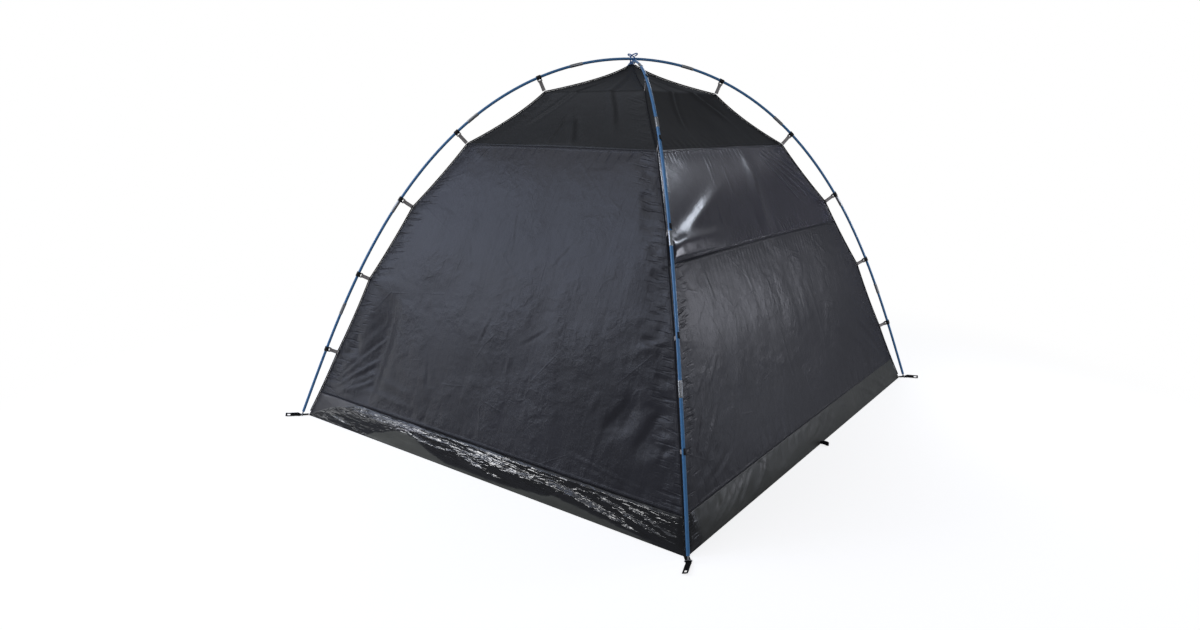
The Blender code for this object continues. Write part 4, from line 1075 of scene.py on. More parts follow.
def front_relief(along, height, to_ridge, to_top, to_foot):
    total = 0.0035 * swell(along, height * 1.3, 0.34, 3) + 0.0012 * swell(along * 1.4, height * 0.6, 0.11, 4)
    total += ridge_fans(along, height, "front", 11)
    total += gathers(along, height, 1, 0.30, 1.27, 0.055, 21, 0.12, 0.0046)
    total += gathers(along, height, -1, 0.30, 1.25, 0.075, 22, 0.07, 0.0007)
    total += puckers(along, to_top, 0.055, 0.05, 0.0045, 0.1, 23)
    total += puckers(along, to_foot, 0.075, 0.06, 0.002, -0.2, 24)
    total += corner_fan(along, height, -1, 25, 8, 0.0028)
    dents = [
        ((0.605, 0.285), (0.730, 0.465), 0.017, 0.065, 0.0075, 0.006),
        ((0.760, 0.235), (0.862, 0.455), 0.018, 0.050, 0.0075, 0.0),
        ((0.690, 0.300), (0.740, 0.450), 0.016, 0.030, 0.0035, 0.0),
        ((0.870, 0.235), (0.905, 0.345), 0.010, 0.020, 0.0030, 0.0),
        ((0.530, 0.330), (0.580, 0.440), 0.014, 0.016, -0.0016, 0.0),
        ((0.800, 0.640), (0.690, 0.600), 0.020, 0.014, -0.0030, 0.0),
        ((-0.690, 0.060), (-0.640, 0.660), 0.090, 0.045, 0.0160, 0.010),
        ((-0.800, 0.300), (-0.870, 0.470), 0.020, 0.012, 0.0040, 0.0),
    ]
    for start, end, steep, gentle, depth, bow in dents:
        total += dent(along, height, start, end, steep, gentle, depth, bow)
    folds = [
        ((0.124, 1.257), (0.391, 1.062), 0.004, 0.0007), ((-0.152, 1.053), (-0.028, 1.105), 0.006, 0.0008),
        ((0.620, 0.365), (0.580, 0.110), 0.008, 0.0008), ((0.300, 0.560), (0.420, 0.120), 0.030, 0.0006),
        ((-0.760, 0.260), (-0.360, 0.215), 0.016, 0.0012), ((-0.820, 0.190), (-0.300, 0.165), 0.012, 0.0010),
        ((0.420, 0.200), (0.960, 0.135), 0.007, 0.0012), ((0.480, 0.165), (1.000, 0.118), 0.006, 0.0012),
    ]
    for start, end, width, depth in folds:
        total += crease(along, height, start, end, width, depth)
    total += packing_creases(along, height, (-0.8, 0.2, 0.7, 1.2), 34, 31, 0.006, 0.0013)
    return total


add_wall("wall_front_cloth", "front", TUB_HEIGHT, CAP_SEAM_HEIGHT, front_relief, wall_cloth,
         node_name="wall_front")


# %% [markdown]
# The right-hand face is in two panels. The lower one is like the front wall. The vent above it is glossier,
# and a few long folds in it catch the light, so those are placed one by one.

# %% Folds of the right wall and its vent panel
def right_relief(along, height, to_ridge, to_top, to_foot):
    total = 0.0035 * swell(along, height * 1.3, 0.36, 43)
    total += 0.0012 * swell(along * 1.4, height * 0.6, 0.12, 44)
    total += ridge_fans(along, height, "right", 41, 0.0013)
    total += puckers(height * 1.2, to_ridge, 0.07, 0.05, 0.0022, 0.4, 51)
    total += puckers(along, to_top, 0.028, 0.08, 0.0022, 0.1, 53)
    total += puckers(along, to_foot, 0.075, 0.07, 0.003, -0.2, 54)
    total += corner_fan(along, height, -1, 55, 9, 0.0024) + corner_fan(along, height, 1, 56, 8, 0.0032)
    folds = [
        ((-0.097, 0.573), (-0.051, 0.155), 0.006, 0.0016), ((-0.600, 0.850), (-0.575, 0.720), 0.006, 0.0016),
        ((-0.836, 0.434), (-0.952, 0.343), 0.008, 0.0012), ((-0.747, 0.539), (-0.907, 0.435), 0.008, 0.0010),
        ((-0.661, 0.556), (-0.850, 0.400), 0.007, 0.0010), ((0.300, 0.700), (0.360, 0.350), 0.012, 0.0008),
    ]
    for start, end, width, depth in folds:
        total += crease(along, height, start, end, width, depth)
    total += packing_creases(along, height, (-0.8, 0.2, 0.7, 0.85), 30, 61, 0.007, 0.0011)
    return total


add_wall("wall_right_cloth", "right", TUB_HEIGHT, VENT_SEAM_HEIGHT, right_relief, wall_cloth,
         node_name="wall_right")


def vent_relief(along, height, to_ridge, to_top, to_foot):
    total = 0.0022 * swell(along, height * 1.5, 0.3, 73) * ease(to_ridge / 0.10)
    total += ridge_fans(along, height, "right", 71, 0.0008) * ease(to_ridge / 0.05)
    total += puckers(along, to_foot, 0.024, 0.055, 0.0036, 0.1, 74) * ease((along + 0.45) / 0.25)
    total += puckers(along, to_top, 0.030, 0.05, 0.0010, 0.1, 75)
    crests = [
        ((-1.050, 0.832), (-0.100, 1.162), 0.032, 0.080, 0.0100, 0.0),
        ((-1.100, 0.962), (-0.150, 0.944), 0.028, 0.060, 0.0128, 0.0),
        ((-0.310, 0.930), (-0.285, 1.110), 0.008, 0.014, 0.0009, 0.0),
        ((0.050, 0.850), (0.190, 1.310), 0.040, 0.050, 0.0062, 0.0),
        ((-0.245, 1.110), (-0.200, 1.270), 0.006, 0.010, 0.0009, 0.0),
        ((-0.215, 1.140), (-0.165, 1.275), 0.005, 0.008, 0.0007, 0.0),
        ((-0.110, 1.080), (-0.085, 1.230), 0.006, 0.010, 0.0007, 0.0),
    ]
    for start, end, steep, gentle, depth, bow in crests:
        total += dent(along, height, start, end, steep, gentle, -depth, bow)
    folds = [
        ((0.300, 1.270), (0.640, 1.020), 0.008, 0.0026), ((0.340, 1.275), (0.680, 1.060), 0.007, 0.0024),
        ((0.400, 1.265), (0.720, 1.090), 0.006, 0.0020), ((-0.450, 0.960), (-0.250, 1.020), 0.010, 0.0010),
        ((0.260, 1.275), (0.560, 0.990), 0.006, 0.0018), ((0.460, 1.268), (0.740, 1.130), 0.006, 0.0018),
    ]
    for start, end, width, depth in folds:
        total += crease(along, height, start, end, width, depth)
    return total


vent = add_wall("vent_panel_cloth", "right", VENT_SEAM_HEIGHT, CAP_SEAM_HEIGHT, vent_relief, vent_cloth,
                node_name="vent_panel_right")


# %% [markdown]
# The left and back walls don't show in the picture. They get folds of the same kinds and sizes from other
# seeds, and none that is placed by hand.

# %% Folds of the two hidden walls
def plain_relief(seed, side):
    """The folds of a wall that the picture doesn't show, of the same kinds and sizes."""
    def relief(along, height, to_ridge, to_top, to_foot):
        total = 0.0035 * swell(along, height * 1.3, 0.35, seed)
        total += 0.0012 * swell(along * 1.4, height * 0.6, 0.12, seed + 1)
        total += ridge_fans(along, height, side, seed + 2)
        total += puckers(height * 1.2, to_ridge, 0.075, 0.06, 0.004, 0.4, seed + 3)
        total += puckers(along, to_top, 0.055, 0.045, 0.003, 0.1, seed + 4)
        total += puckers(along, to_foot, 0.075, 0.06, 0.003, -0.2, seed + 5)
        total += packing_creases(along, height, (-0.8, 0.2, 0.8, 1.1), 24, seed + 6, 0.008, 0.0008)
        return total
    return relief


add_wall("wall_left_cloth", "left", TUB_HEIGHT, CAP_SEAM_HEIGHT, plain_relief(81, "left"), wall_cloth,
         node_name="wall_left")

# %% [markdown]
# The back wall has the door. The same grid makes the wall and the flap: faces
# whose middle lies inside the door's outline go to the flap, and the rest to
# the wall. The points along the cut then move onto the outline itself.

# %% The door's outline
DOOR_WIDTH, DOOR_SILL_HEIGHT, DOOR_HEIGHT = 0.76, 0.170, 1.01
DOOR_SPRING = DOOR_SILL_HEIGHT + DOOR_HEIGHT - DOOR_WIDTH / 2
ZIP_GAP = 0.0006


def inside_door(along, height, inset=0.0):
    half = DOOR_WIDTH / 2 - inset
    straight = (np.abs(along) < half) & (height > DOOR_SILL_HEIGHT + inset) & (height < DOOR_SPRING)
    head = (np.hypot(along, height - DOOR_SPRING) < half) & (height >= DOOR_SPRING)
    return straight | head


def onto_outline(along, height, inset=0.0):
    """The nearest point of the door's outline."""
    half = DOOR_WIDTH / 2 - inset
    sill = DOOR_SILL_HEIGHT + inset
    reach = np.hypot(along, height - DOOR_SPRING) + 1e-9
    head_x, head_z = along / reach * half, DOOR_SPRING + (height - DOOR_SPRING) / reach * half
    side_x, side_z = np.sign(along) * half, np.clip(height, sill, DOOR_SPRING)
    sill_x, sill_z = np.clip(along, -half, half), np.full_like(height, sill)
    nearer_sill = np.abs(height - sill) < np.abs(np.abs(along) - half)
    low_x, low_z = np.where(nearer_sill, sill_x, side_x), np.where(nearer_sill, sill_z, side_z)
    high = height >= DOOR_SPRING
    return np.where(high, head_x, low_x), np.where(high, head_z, low_z)


# %% [markdown]
# Wall and flap come from one grid, so their folds meet at the zip. The folds are held back near it, because
# its tapes are stiffer than the cloth.

# %% The back wall and its flap
back_relief = plain_relief(91, "back")


def back_sheet(name, keep_inside, inset):
    """The part of the back wall inside or outside the door's outline."""
    columns = 2 * int(half_width("back", TUB_HEIGHT) / CLOTH_CELL) + 1
    rows = int((CAP_SEAM_HEIGHT - TUB_HEIGHT) * WALL_LEAN / CLOTH_CELL) + 1
    across, height = np.meshgrid(np.linspace(-1, 1, columns), np.linspace(TUB_HEIGHT, CAP_SEAM_HEIGHT, rows))
    along = across * half_width("back", height)
    faces = grid_faces(rows, columns)
    flat_along, flat_height = along.ravel(), height.ravel()
    middle_along, middle_height = flat_along[faces].mean(1), flat_height[faces].mean(1)
    chosen = inside_door(middle_along, middle_height, inset) == keep_inside
    kept = faces[chosen]
    rim = np.intersect1d(np.unique(kept), np.unique(faces[~chosen]))
    moved_along, moved_height = onto_outline(flat_along[rim], flat_height[rim], inset)
    flat_along[rim], flat_height[rim] = moved_along, moved_height
    along, height = flat_along.reshape(rows, columns), flat_height.reshape(rows, columns)
    across = along / half_width("back", height)
    smooth = side_points("back", across, height)
    normal = outward_normals(smooth)
    up = running_length(smooth)
    to_ridge = (1 - np.abs(across)) * half_width("back", height) * RIDGE_LEAN
    near_x, near_z = onto_outline(along, height)
    to_zip = np.hypot(along - near_x, height - near_z)
    to_top, to_foot = up[-1] - up, up
    still = ease(to_ridge / 0.02) * ease(to_top / 0.015) * ease(to_foot / 0.015)
    still *= 0.15 + 0.85 * ease(to_zip / 0.05)
    still *= np.where(to_zip < 0.02, 0.15, 1)
    points = smooth + normal * (back_relief(along, height, to_ridge, to_top, to_foot) * still)[..., None]
    used, again = np.unique(kept, return_inverse=True)
    kept = again.reshape(kept.shape)
    places = points.reshape(-1, 3)[used]
    sheet = sheet_object(name, places, kept)
    add_maps(sheet.data, np.stack([along, up], axis=-1).reshape(-1, 2)[used],
             to_ridge=to_ridge.ravel()[used], to_top=to_top.ravel()[used], to_foot=to_foot.ravel()[used])
    thicken(sheet)
    sheet.data.materials.append(wall_cloth)
    return sheet, face_area(smooth.reshape(-1, 3)[used], kept)


wall_back, back_area = back_sheet("wall_back_cloth", False, 0.0)
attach(wall_back, "tent")
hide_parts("wall_back")
door_flap, flap_area = back_sheet("door_flap_cloth", True, ZIP_GAP)
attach(door_flap, "door_flap")
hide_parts("door_flap")
print("back wall", round(back_area, 3), "and flap", round(flap_area, 3), "square metres")


# %% [markdown]
# ## Roof cap and groundsheet
#
# The cap is one sheet that goes all the way round: four gores that meet in a point just under the crossing.
# The groundsheet is another: it covers the floor and turns up all round as a low wall, like a shallow tub.

# %% Round sheets
SIDES = ("front", "right", "back", "left")


def ring_sheet(low, high, columns, rows, relief):
    """Points all round the tent between two heights, side by side, with the numbers that go with them."""
    across = -1 + 2 * np.arange(columns) / columns
    heights = np.linspace(low, high, rows)
    grids = []
    for number, side in enumerate(SIDES):
        a, height = np.meshgrid(np.append(across, 1.0), heights)
        smooth = side_points(side, a, height)
        normal = outward_normals(smooth)
        along = a * half_width(side, height)
        up = running_length(smooth)
        to_ridge = (1 - np.abs(a)) * half_width(side, height) * RIDGE_LEAN
        still = ease(to_ridge / 0.02)
        lift = relief(side, along, height, to_ridge, up[-1] - up, up) * still
        points = smooth + normal * lift[..., None]
        flat_map = np.stack([along + number * 5, up], axis=-1)
        grids.append([part[:, :-1] for part in (points, flat_map, to_ridge, up[-1] - up, up, smooth)])
    return [np.concatenate([grid[i] for grid in grids], axis=1) for i in range(6)]


def fill_ring(thing, first, last):
    """Closes a ring of points with one face."""
    only(thing)
    bpy.ops.object.mode_set(mode="EDIT")
    bpy.ops.mesh.select_mode(type="VERT")
    bpy.ops.mesh.select_all(action="DESELECT")
    bpy.ops.object.mode_set(mode="OBJECT")
    for vertex in thing.data.vertices[first:last]:
        vertex.select = True
    bpy.ops.object.mode_set(mode="EDIT")
    bpy.ops.mesh.edge_face_add()
    bpy.ops.object.mode_set(mode="OBJECT")


# %% [markdown]
# The cap's darker cloth has a few long folds that start under the crossing, and is gathered where it meets
# the walls. There is no hem at its tip, so the distance to the top is set beyond the hem's reach.

# %% The cap
def cap_relief(side, along, height, to_ridge, to_top, to_foot):
    seed = 100 + 10 * SIDES.index(side)
    still = ease(to_foot / 0.015) * ease(to_top / 0.05)
    total = 0.004 * swell(along, height * 1.4, 0.22, seed)
    total += puckers(along, to_foot, 0.05, 0.05, 0.0035, 0.1, seed + 1)
    total += puckers(height * 2.2, to_ridge, 0.09, 0.05, 0.003, 0.4, seed + 2)
    if side == "front":
        total += crease(along, height, (-0.04, 1.407), (0.074, 1.28), 0.012, 0.005)
        total += crease(along, height, (0.0, 1.62), (0.25, 1.33), 0.014, 0.004)
        total += crease(along, height, (-0.085, 1.42), (-0.075, 1.285), 0.008, 0.004)
        total += crease(along, height, (-0.040, 1.60), (-0.300, 1.36), 0.010, 0.003)
    if side == "right":
        total += crease(along, height, (-0.02, 1.62), (0.30, 1.38), 0.014, 0.005)
        total += crease(along, height, (-0.02, 1.60), (-0.20, 1.35), 0.014, 0.005)
    return total * still


points, flat_map, to_ridge, to_top, to_foot, smooth = ring_sheet(CAP_SEAM_HEIGHT, TIP_HEIGHT, 100, 64,
                                                                 cap_relief)
rows, columns = points.shape[:2]
cap_faces = grid_faces(rows, columns, closed=True)
cap = sheet_object("roof_cap_cloth", points.reshape(-1, 3), cap_faces)
add_maps(cap.data, flat_map.reshape(-1, 2), to_ridge=to_ridge, to_top=to_top + 1, to_foot=to_foot)
fill_ring(cap, (rows - 1) * columns, rows * columns)
thicken(cap)
cap.data.materials.append(cap_cloth)
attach(cap, "tent")
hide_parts("roof_cap")
cap_area = face_area(smooth.reshape(-1, 3), cap_faces)
print("cap", round(cap_area, 3), "square metres,", triangles(cap), "triangles")


# %% [markdown]
# The groundsheet's edge turns up all round. On the front, one long fold runs down that edge from the left
# corner to the right one, with shorter crests on it that catch the light.

# %% The groundsheet
TUB_THICKNESS = 0.0012
# How far each side of the low wall swells outwards, and how low on it the swelling is widest.
TUB_BULGES = {"front": (0.0, 1.0), "right": (0.007, 0.8), "back": (0.010, 0.8), "left": (0.010, 0.8)}
# The floor inside the low wall is a few rings, each this share of the floor's size.
FLOOR_RINGS = (0.97, 0.9, 0.75, 0.5, 0.25, 0.05)


def tub_relief(side, along, height, to_ridge, to_top, to_foot):
    seed = 150 + 10 * SIDES.index(side)
    still = ease(to_foot / 0.02) * ease(to_top / 0.012)
    total = 0.0025 * swell(along, height * 3.0, 0.16, seed)
    total += 0.0008 * swell(along * 1.2, height * 2.2, 0.05, seed + 1)
    if side != "front":
        total += puckers(along, to_top, 0.07, 0.05, 0.003, 0.5, seed + 2)
        total += packing_creases(along, height, (-1.0, 0.02, 1.0, 0.1), 30, seed + 3, 0.008, 0.0016)
    bulge, lean = TUB_BULGES[side]
    if side == "front":
        # The front's one long fold is high at the left corner and runs down to the ground at the right one.
        crest = np.interp(along, (-1.10, -0.40, 0.05, 0.45, 0.80, 1.12),
                          (0.70, 0.70, 0.60, 0.48, 0.34, 0.18))
        size = np.interp(along, (-1.10, -0.75, -0.50, 0.00, 0.90, 1.12),
                         (0.002, 0.006, 0.010, 0.011, 0.009, 0.006))
        share = height / TUB_HEIGHT
        rise = np.sin(math.pi / 2 * np.clip(share / crest, 0, 1))
        total += size * rise * (1 - 0.40 * ease((share - crest) / 0.24))
    total += bulge * np.sin(math.pi * np.clip(height / TUB_HEIGHT, 0.001, 1) ** lean)
    if side == "front":
        for start, end, steep, gentle, depth, bow in STREAKS:
            total += dent(along, height, start, end, steep, gentle, -depth, bow)
    if side == "right":
        for x, reach in ((-1.10, 0.30), (-1.06, 0.36), (-0.98, 0.34), (-0.86, 0.26), (-0.70, 0.22),
                         (0.80, -0.24), (0.95, -0.20)):
            total += dent(along, height, (x, 0.0), (x + reach, 0.115), 0.010, 0.024, -0.0055)
    return total * still


# Long crests of the front edge: start, end, steep and gentle half widths, height and bow.
STREAKS = [
    ((0.34, 0.094), (1.06, -0.006), 0.011, 0.018, 0.0064, 0.006),
    ((0.58, 0.100), (1.02, 0.018), 0.008, 0.012, 0.0042, 0.0),
    ((0.72, 0.100), (1.04, 0.035), 0.007, 0.010, 0.0036, 0.0),
    ((-0.06, 0.060), (0.30, 0.010), 0.009, 0.012, 0.0046, 0.0),
    ((-0.95, 0.040), (-0.62, 0.000), 0.008, 0.012, 0.0034, 0.0),
    ((-0.55, 0.075), (-0.10, 0.050), 0.007, 0.012, 0.0026, 0.0),
]


def slick_share(places):
    """Where the tub's front is slick and crinkled, and where it looks like wall cloth."""
    x, y, height = places[..., 0], places[..., 1], places[..., 2]
    front = ease((-y - 1.05) / 0.05) * ease((1.12 - np.abs(x)) / 0.02)
    line_x = (-1.10, -0.66, -0.56, -0.42, -0.30, -0.20, -0.10, 0.25, 0.42, 0.473, 0.60, 0.723, 1.05)
    line_z = (-0.01, -0.01, 0.030, 0.070, 0.065, 0.030, 0.010, 0.010, 0.030, 0.040, 0.034, 0.024, -0.008)
    line = np.interp(x, line_x, line_z)
    line = line + 0.004 * swell(x, x * 0, 0.05, 170) * (line > 0)
    top = np.interp(x, (-1.12, -0.90, -0.70), (-0.02, 0.070, 0.120))
    slick = front * ease((height - line) / 0.004) * ease((top - height) / 0.006)
    wall_like = front * ease((height - top + 0.004) / 0.004) * ease((-0.62 - x) / 0.06)
    return slick, wall_like


points, flat_map, to_ridge, to_top, to_foot, smooth = ring_sheet(0.0, TUB_HEIGHT, 300, 27, tub_relief)
rows, columns = points.shape[:2]
inner_rings = [points[0] * np.array((s, s, 1.0)) for s in FLOOR_RINGS]
all_points = np.concatenate([np.stack(inner_rings[::-1]), points])
tub_faces = grid_faces(len(all_points), columns, closed=True)
tub = sheet_object("groundsheet_tub", all_points.reshape(-1, 3), tub_faces)
wide_map = np.concatenate([np.stack([ring[:, :2] for ring in inner_rings[::-1]]), flat_map])
spare = np.full((len(inner_rings), columns), 1.0)
slick, wall_like = slick_share(points)
add_maps(tub.data, wide_map.reshape(-1, 2), to_ridge=np.concatenate([spare, to_ridge]),
         to_top=np.concatenate([spare, to_top]), to_foot=np.concatenate([spare * 0, to_foot]),
         slick=np.concatenate([spare * 0, slick]), wall_like=np.concatenate([spare * 0, wall_like]))
fill_ring(tub, 0, columns)
thicken(tub, TUB_THICKNESS)
tub.data.materials.append(ground_cloth)
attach(tub, "tent")
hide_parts("tub_floor")
tub_area = face_area(all_points.reshape(-1, 3), tub_faces)
print("groundsheet", round(tub_area, 3), "square metres,", triangles(tub), "triangles")

# %% [markdown]
# ## Small parts
#
# The hooks are injection-moulded nylon: a spring clip that snaps over the pole, and under it a frame with a
# bar for the strap. One hook is modelled at the origin, with its bar there and the pole above it, and then
# copied twenty times. The clip starts as a circle: its open side is cut away, the line is drawn out to the
# hook's width, and it gets its wall. The frame starts as a cube, which is cut across so that a slot for the
# strap, and a small hole over it, can be opened in it.

# %% One hook
HOOK_WIDTH, HOOK_WALL, HOOK_STEM = 0.0225, 0.0025, 0.0042
HOOK_BORE = POLE_RADIUS + HOOK_CLEARANCE
EYE_HEIGHT, HALF_BAR = 0.0055, 0.0020
BAR_DROP = HOOK_BORE + HOOK_WALL + EYE_HEIGHT + HALF_BAR
SLOT_HALF, SLOT_LOW, SLOT_HIGH = 0.0087, 0.0010, 0.0046
HOLE_HALF, HOLE_HIGH = 0.0034, 0.0072


def select_where(thing, kind, test):
    """Leaves in edit mode just the vertices or faces selected whose middle passes a test."""
    only(thing)
    bpy.ops.object.mode_set(mode="EDIT")
    bpy.ops.mesh.select_mode(type=kind)
    bpy.ops.mesh.select_all(action="DESELECT")
    bpy.ops.object.mode_set(mode="OBJECT")
    for item in (thing.data.vertices if kind == "VERT" else thing.data.polygons):
        item.select = bool(test(item.co if kind == "VERT" else item.center))
    bpy.ops.object.mode_set(mode="EDIT")


def soften(thing, width, segments=2, angle=35):
    """Rounds the sharp edges of a hard piece and shades it smooth."""
    edges = thing.modifiers.new("soft_edges", "BEVEL")
    edges.width = width
    edges.segments = segments
    edges.limit_method = "ANGLE"
    edges.angle_limit = math.radians(angle)
    apply_modifiers(thing)
    shade_by_angle(thing)
    return thing


def weld(first, *others):
    """Joins solid pieces that run into each other to one."""
    for other in others:
        change = first.modifiers.new("weld", "BOOLEAN")
        change.operation = "UNION"
        change.solver = "EXACT"
        change.object = other
        apply_modifiers(first)
        bpy.data.objects.remove(other)
    return first


def solid_block(size, place):
    bpy.ops.mesh.primitive_cube_add(size=1, location=place)
    block = bpy.context.object
    block.scale = size
    bpy.ops.object.transform_apply(location=True, rotation=True, scale=True)
    return block


only(bpy.data.objects["camera"])
bpy.ops.mesh.primitive_circle_add(vertices=48, radius=HOOK_BORE + HOOK_WALL / 2,
                                  location=(0, BAR_DROP, -HOOK_WIDTH / 2))
hook_clip = bpy.context.object
bpy.ops.object.transform_apply(location=True, rotation=True, scale=True)
select_where(hook_clip, "VERT", lambda v: -81 < math.degrees(math.atan2(v.y - BAR_DROP, v.x)) < 74)
bpy.ops.mesh.delete(type="VERT")
bpy.ops.mesh.select_all(action="SELECT")
bpy.ops.mesh.extrude_region_move(TRANSFORM_OT_translate={"value": (0, 0, HOOK_WIDTH)})
bpy.ops.object.mode_set(mode="OBJECT")
give_wall(hook_clip, "wall", HOOK_WALL)
apply_modifiers(hook_clip)
soften(hook_clip, 0.0007)

frame_low, frame_high = -0.0021, BAR_DROP - HOOK_BORE - 0.0012
hook_frame = solid_block((HOOK_STEM, frame_high - frame_low, HOOK_WIDTH),
                         (0, (frame_low + frame_high) / 2, 0))
only(hook_frame)
bpy.ops.object.mode_set(mode="EDIT")
for cut in (-SLOT_HALF, -HOLE_HALF, HOLE_HALF, SLOT_HALF):
    bpy.ops.mesh.select_all(action="SELECT")
    bpy.ops.mesh.bisect(plane_co=(0, 0, cut), plane_no=(0, 0, 1))
for cut in (SLOT_LOW, SLOT_HIGH, HOLE_HIGH):
    bpy.ops.mesh.select_all(action="SELECT")
    bpy.ops.mesh.bisect(plane_co=(0, cut, 0), plane_no=(0, 1, 0))
bpy.ops.object.mode_set(mode="OBJECT")
select_where(hook_frame, "FACE",
             lambda c: abs(c.x) > 0.001 and ((abs(c.z) < SLOT_HALF and SLOT_LOW < c.y < SLOT_HIGH)
                                             or (abs(c.z) < HOLE_HALF and SLOT_HIGH < c.y < HOLE_HIGH)))
bpy.ops.mesh.bridge_edge_loops()
bpy.ops.object.mode_set(mode="OBJECT")
soften(hook_frame, 0.0006)
hook_master = weld(hook_clip, hook_frame)
shade_by_angle(hook_master)
print("one hook:", triangles(hook_master), "triangles,", ends_of(hook_master))

# %% [markdown]
# A strap of grey webbing joins each hook to the ridge. It is one length of webbing, folded round the hook's
# bar and sewn to itself, with its two ends either side of the ridge's edge. So it is made as that: a line
# round the bar and down both sides, given the webbing's width and thickness.

# %% Hooks and straps in their places
STRAP_WIDTH, WEBBING = 0.0165, 0.0008
TAPE_WIDTH, TAPE_THICKNESS = 0.0055, 0.0016


def hook_place(corner, row):
    """The bar of one hook, as a matrix: X to its side, Y out from the tent, Z along the pole."""
    pole = POLE_OF_CORNER[corner]
    length = float(HOOK_LENGTHS[row])
    if POLES[pole][1] != corner:
        length = 2 * POLES[pole][0][-1, 0] - length
    place, side, outward, along = pole_frame(pole, length)
    matrix = Matrix((side, outward, along)).transposed().to_4x4()
    matrix.translation = place - outward * BAR_DROP
    return matrix


def strap_line(drop):
    """A folded strap in its own plane: up one side, round the bar, and down the other."""
    around = 0.0027 + WEBBING / 2
    legs = [(0.0015, -drop), (0.0013, -drop + 0.006), (0.0006, -drop + 0.011), (0.00055, -0.5 * drop),
            (0.0006, -0.0095), (0.0014, -0.0065), (around * 0.92, -0.0022)]
    turn = [(around * math.cos(math.radians(a)), around * math.sin(math.radians(a)))
            for a in range(0, 181, 20)]
    return legs + turn + [(-x, y) for x, y in reversed(legs)]


def ribbon(name, middles, across, width, thickness, columns=5, crown=0.0):
    """A flat strip of webbing along a line of points, with its width along one direction at each of them."""
    middles, across = np.array(middles, dtype=float), np.array(across, dtype=float)
    shares = np.linspace(-1, 1, columns)
    ahead = np.gradient(middles, axis=0)
    ahead /= np.linalg.norm(ahead, axis=1, keepdims=True) + 1e-12
    lift = np.cross(ahead, across)
    points = (middles[:, None] + across[:, None] * (shares * width / 2)[None, :, None]
              + lift[:, None] * (crown * (shares ** 2))[None, :, None])
    strip = sheet_object(name, points.reshape(-1, 3), grid_faces(len(middles), columns))
    run = running_length(middles)
    add_maps(strip.data, strip_map(shares * width / 2, run),
             to_edge=np.tile((1 - np.abs(shares)) * width / 2, (len(middles), 1)).ravel())
    give_wall(strip, "thickness", thickness)
    apply_modifiers(strip)
    strip.data.shade_smooth()
    return strip, float(run[-1])


def fine_line(corners, steps):
    """The same line in even steps, which cut its corners a little."""
    corners = np.array(corners, dtype=float)
    run = running_length(corners)
    even = np.linspace(0, run[-1], steps)
    return np.stack([np.interp(even, run, corners[:, i]) for i in range(corners.shape[1])], axis=1)


strap_total = 0
for corner in CORNERS:
    for row in range(len(HOOK_LENGTHS)):
        name = f"hook_{corner}_{row + 1}"
        matrix = hook_place(corner, row)
        hook = copy_of(hook_master, name + "_clip")
        hook.data.transform(matrix)
        hook.data.materials.append(hook_nylon)
        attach(hook, name)
        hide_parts(name)
        drop = float(STRAP_REACHES[row]) - BAR_DROP - 0.0012
        line = fine_line(strap_line(drop), 56)
        middles = [matrix @ Vector((x, y, 0)) for x, y in line]
        strap, cut = ribbon(name + "_strap", middles, [matrix.to_3x3() @ Vector((0, 0, 1))] * len(middles),
                            STRAP_WIDTH, WEBBING)
        strap.data.materials.append(strap_grey)
        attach(strap, "tent")
        strap_total += cut
bpy.data.objects.remove(hook_master)
print("twenty hooks, and", round(strap_total, 3), "metres of strap webbing")

# %% [markdown]
# Where two walls meet, their edges are bound together in a narrow dark tape,
# which stands up along the ridge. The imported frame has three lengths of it:
# one over the top from corner to corner, and one up each other ridge.

# %% Ridge bindings
def ridge_run(corner, low=0.020, step=0.009):
    """Where the binding starts on the ridge and how it stands off it, from a foot up to the tip."""
    direction = np.array(CORNERS[corner])
    heights = np.linspace(low, TIP_HEIGHT, int((TIP_HEIGHT - low) / step))
    radii = ridge_radius(heights)
    r, z = np.gradient(radii), np.gradient(heights)
    size = np.hypot(r, z)
    out = direction[None, :] * (z / size)[:, None] + np.array((0, 0, 1.0)) * (-r / size)[:, None]
    return direction[None, :] * radii[:, None] + np.array((0, 0, 1.0)) * heights[:, None], out


def binding(name, corners, node_name):
    """A folded tape along one ridge, or over the top along two."""
    places, out = ridge_run(corners[0])
    if len(corners) == 2:
        far_places, far_out = ridge_run(corners[1])
        places, out = np.concatenate([places, far_places[::-1]]), np.concatenate([out, far_out[::-1]])
    side = np.array(Vector((0, 0, 1)).cross(CORNERS[corners[0]]))
    half = TAPE_THICKNESS / 2
    section = [(-half, 0.0004), (-half, 0.0025), (-half, 0.0044), (-half * 0.6, 0.0052), (0, TAPE_WIDTH),
               (half * 0.6, 0.0052), (half, 0.0044), (half, 0.0025), (half, 0.0004)]
    run = running_length(places)
    sway = 0.0005 * swell(run, run * 0, 0.03, 301)
    points = np.stack([places + side * (s + sway)[:, None] + out * reach for s, reach in section], axis=1)
    faces = grid_faces(len(places), len(section), closed=True)
    tape = sheet_object(name, points.reshape(-1, 3), faces)
    add_maps(tape.data, strip_map(np.array([reach for _, reach in section]), run),
             to_edge=np.tile([TAPE_WIDTH - reach for _, reach in section], len(places)))
    fill_ring(tape, 0, len(section))
    fill_ring(tape, len(points.reshape(-1, 3)) - len(section), len(points.reshape(-1, 3)))
    face_outwards(tape)
    tape.data.shade_smooth()
    tape.data.materials.append(binding_dark)
    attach(tape, "tent")
    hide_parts(node_name)
    return float(run[-1])


def face_outwards(thing):
    only(thing)
    bpy.ops.object.mode_set(mode="EDIT")
    bpy.ops.mesh.select_all(action="SELECT")
    bpy.ops.mesh.normals_make_consistent(inside=False)
    bpy.ops.object.mode_set(mode="OBJECT")


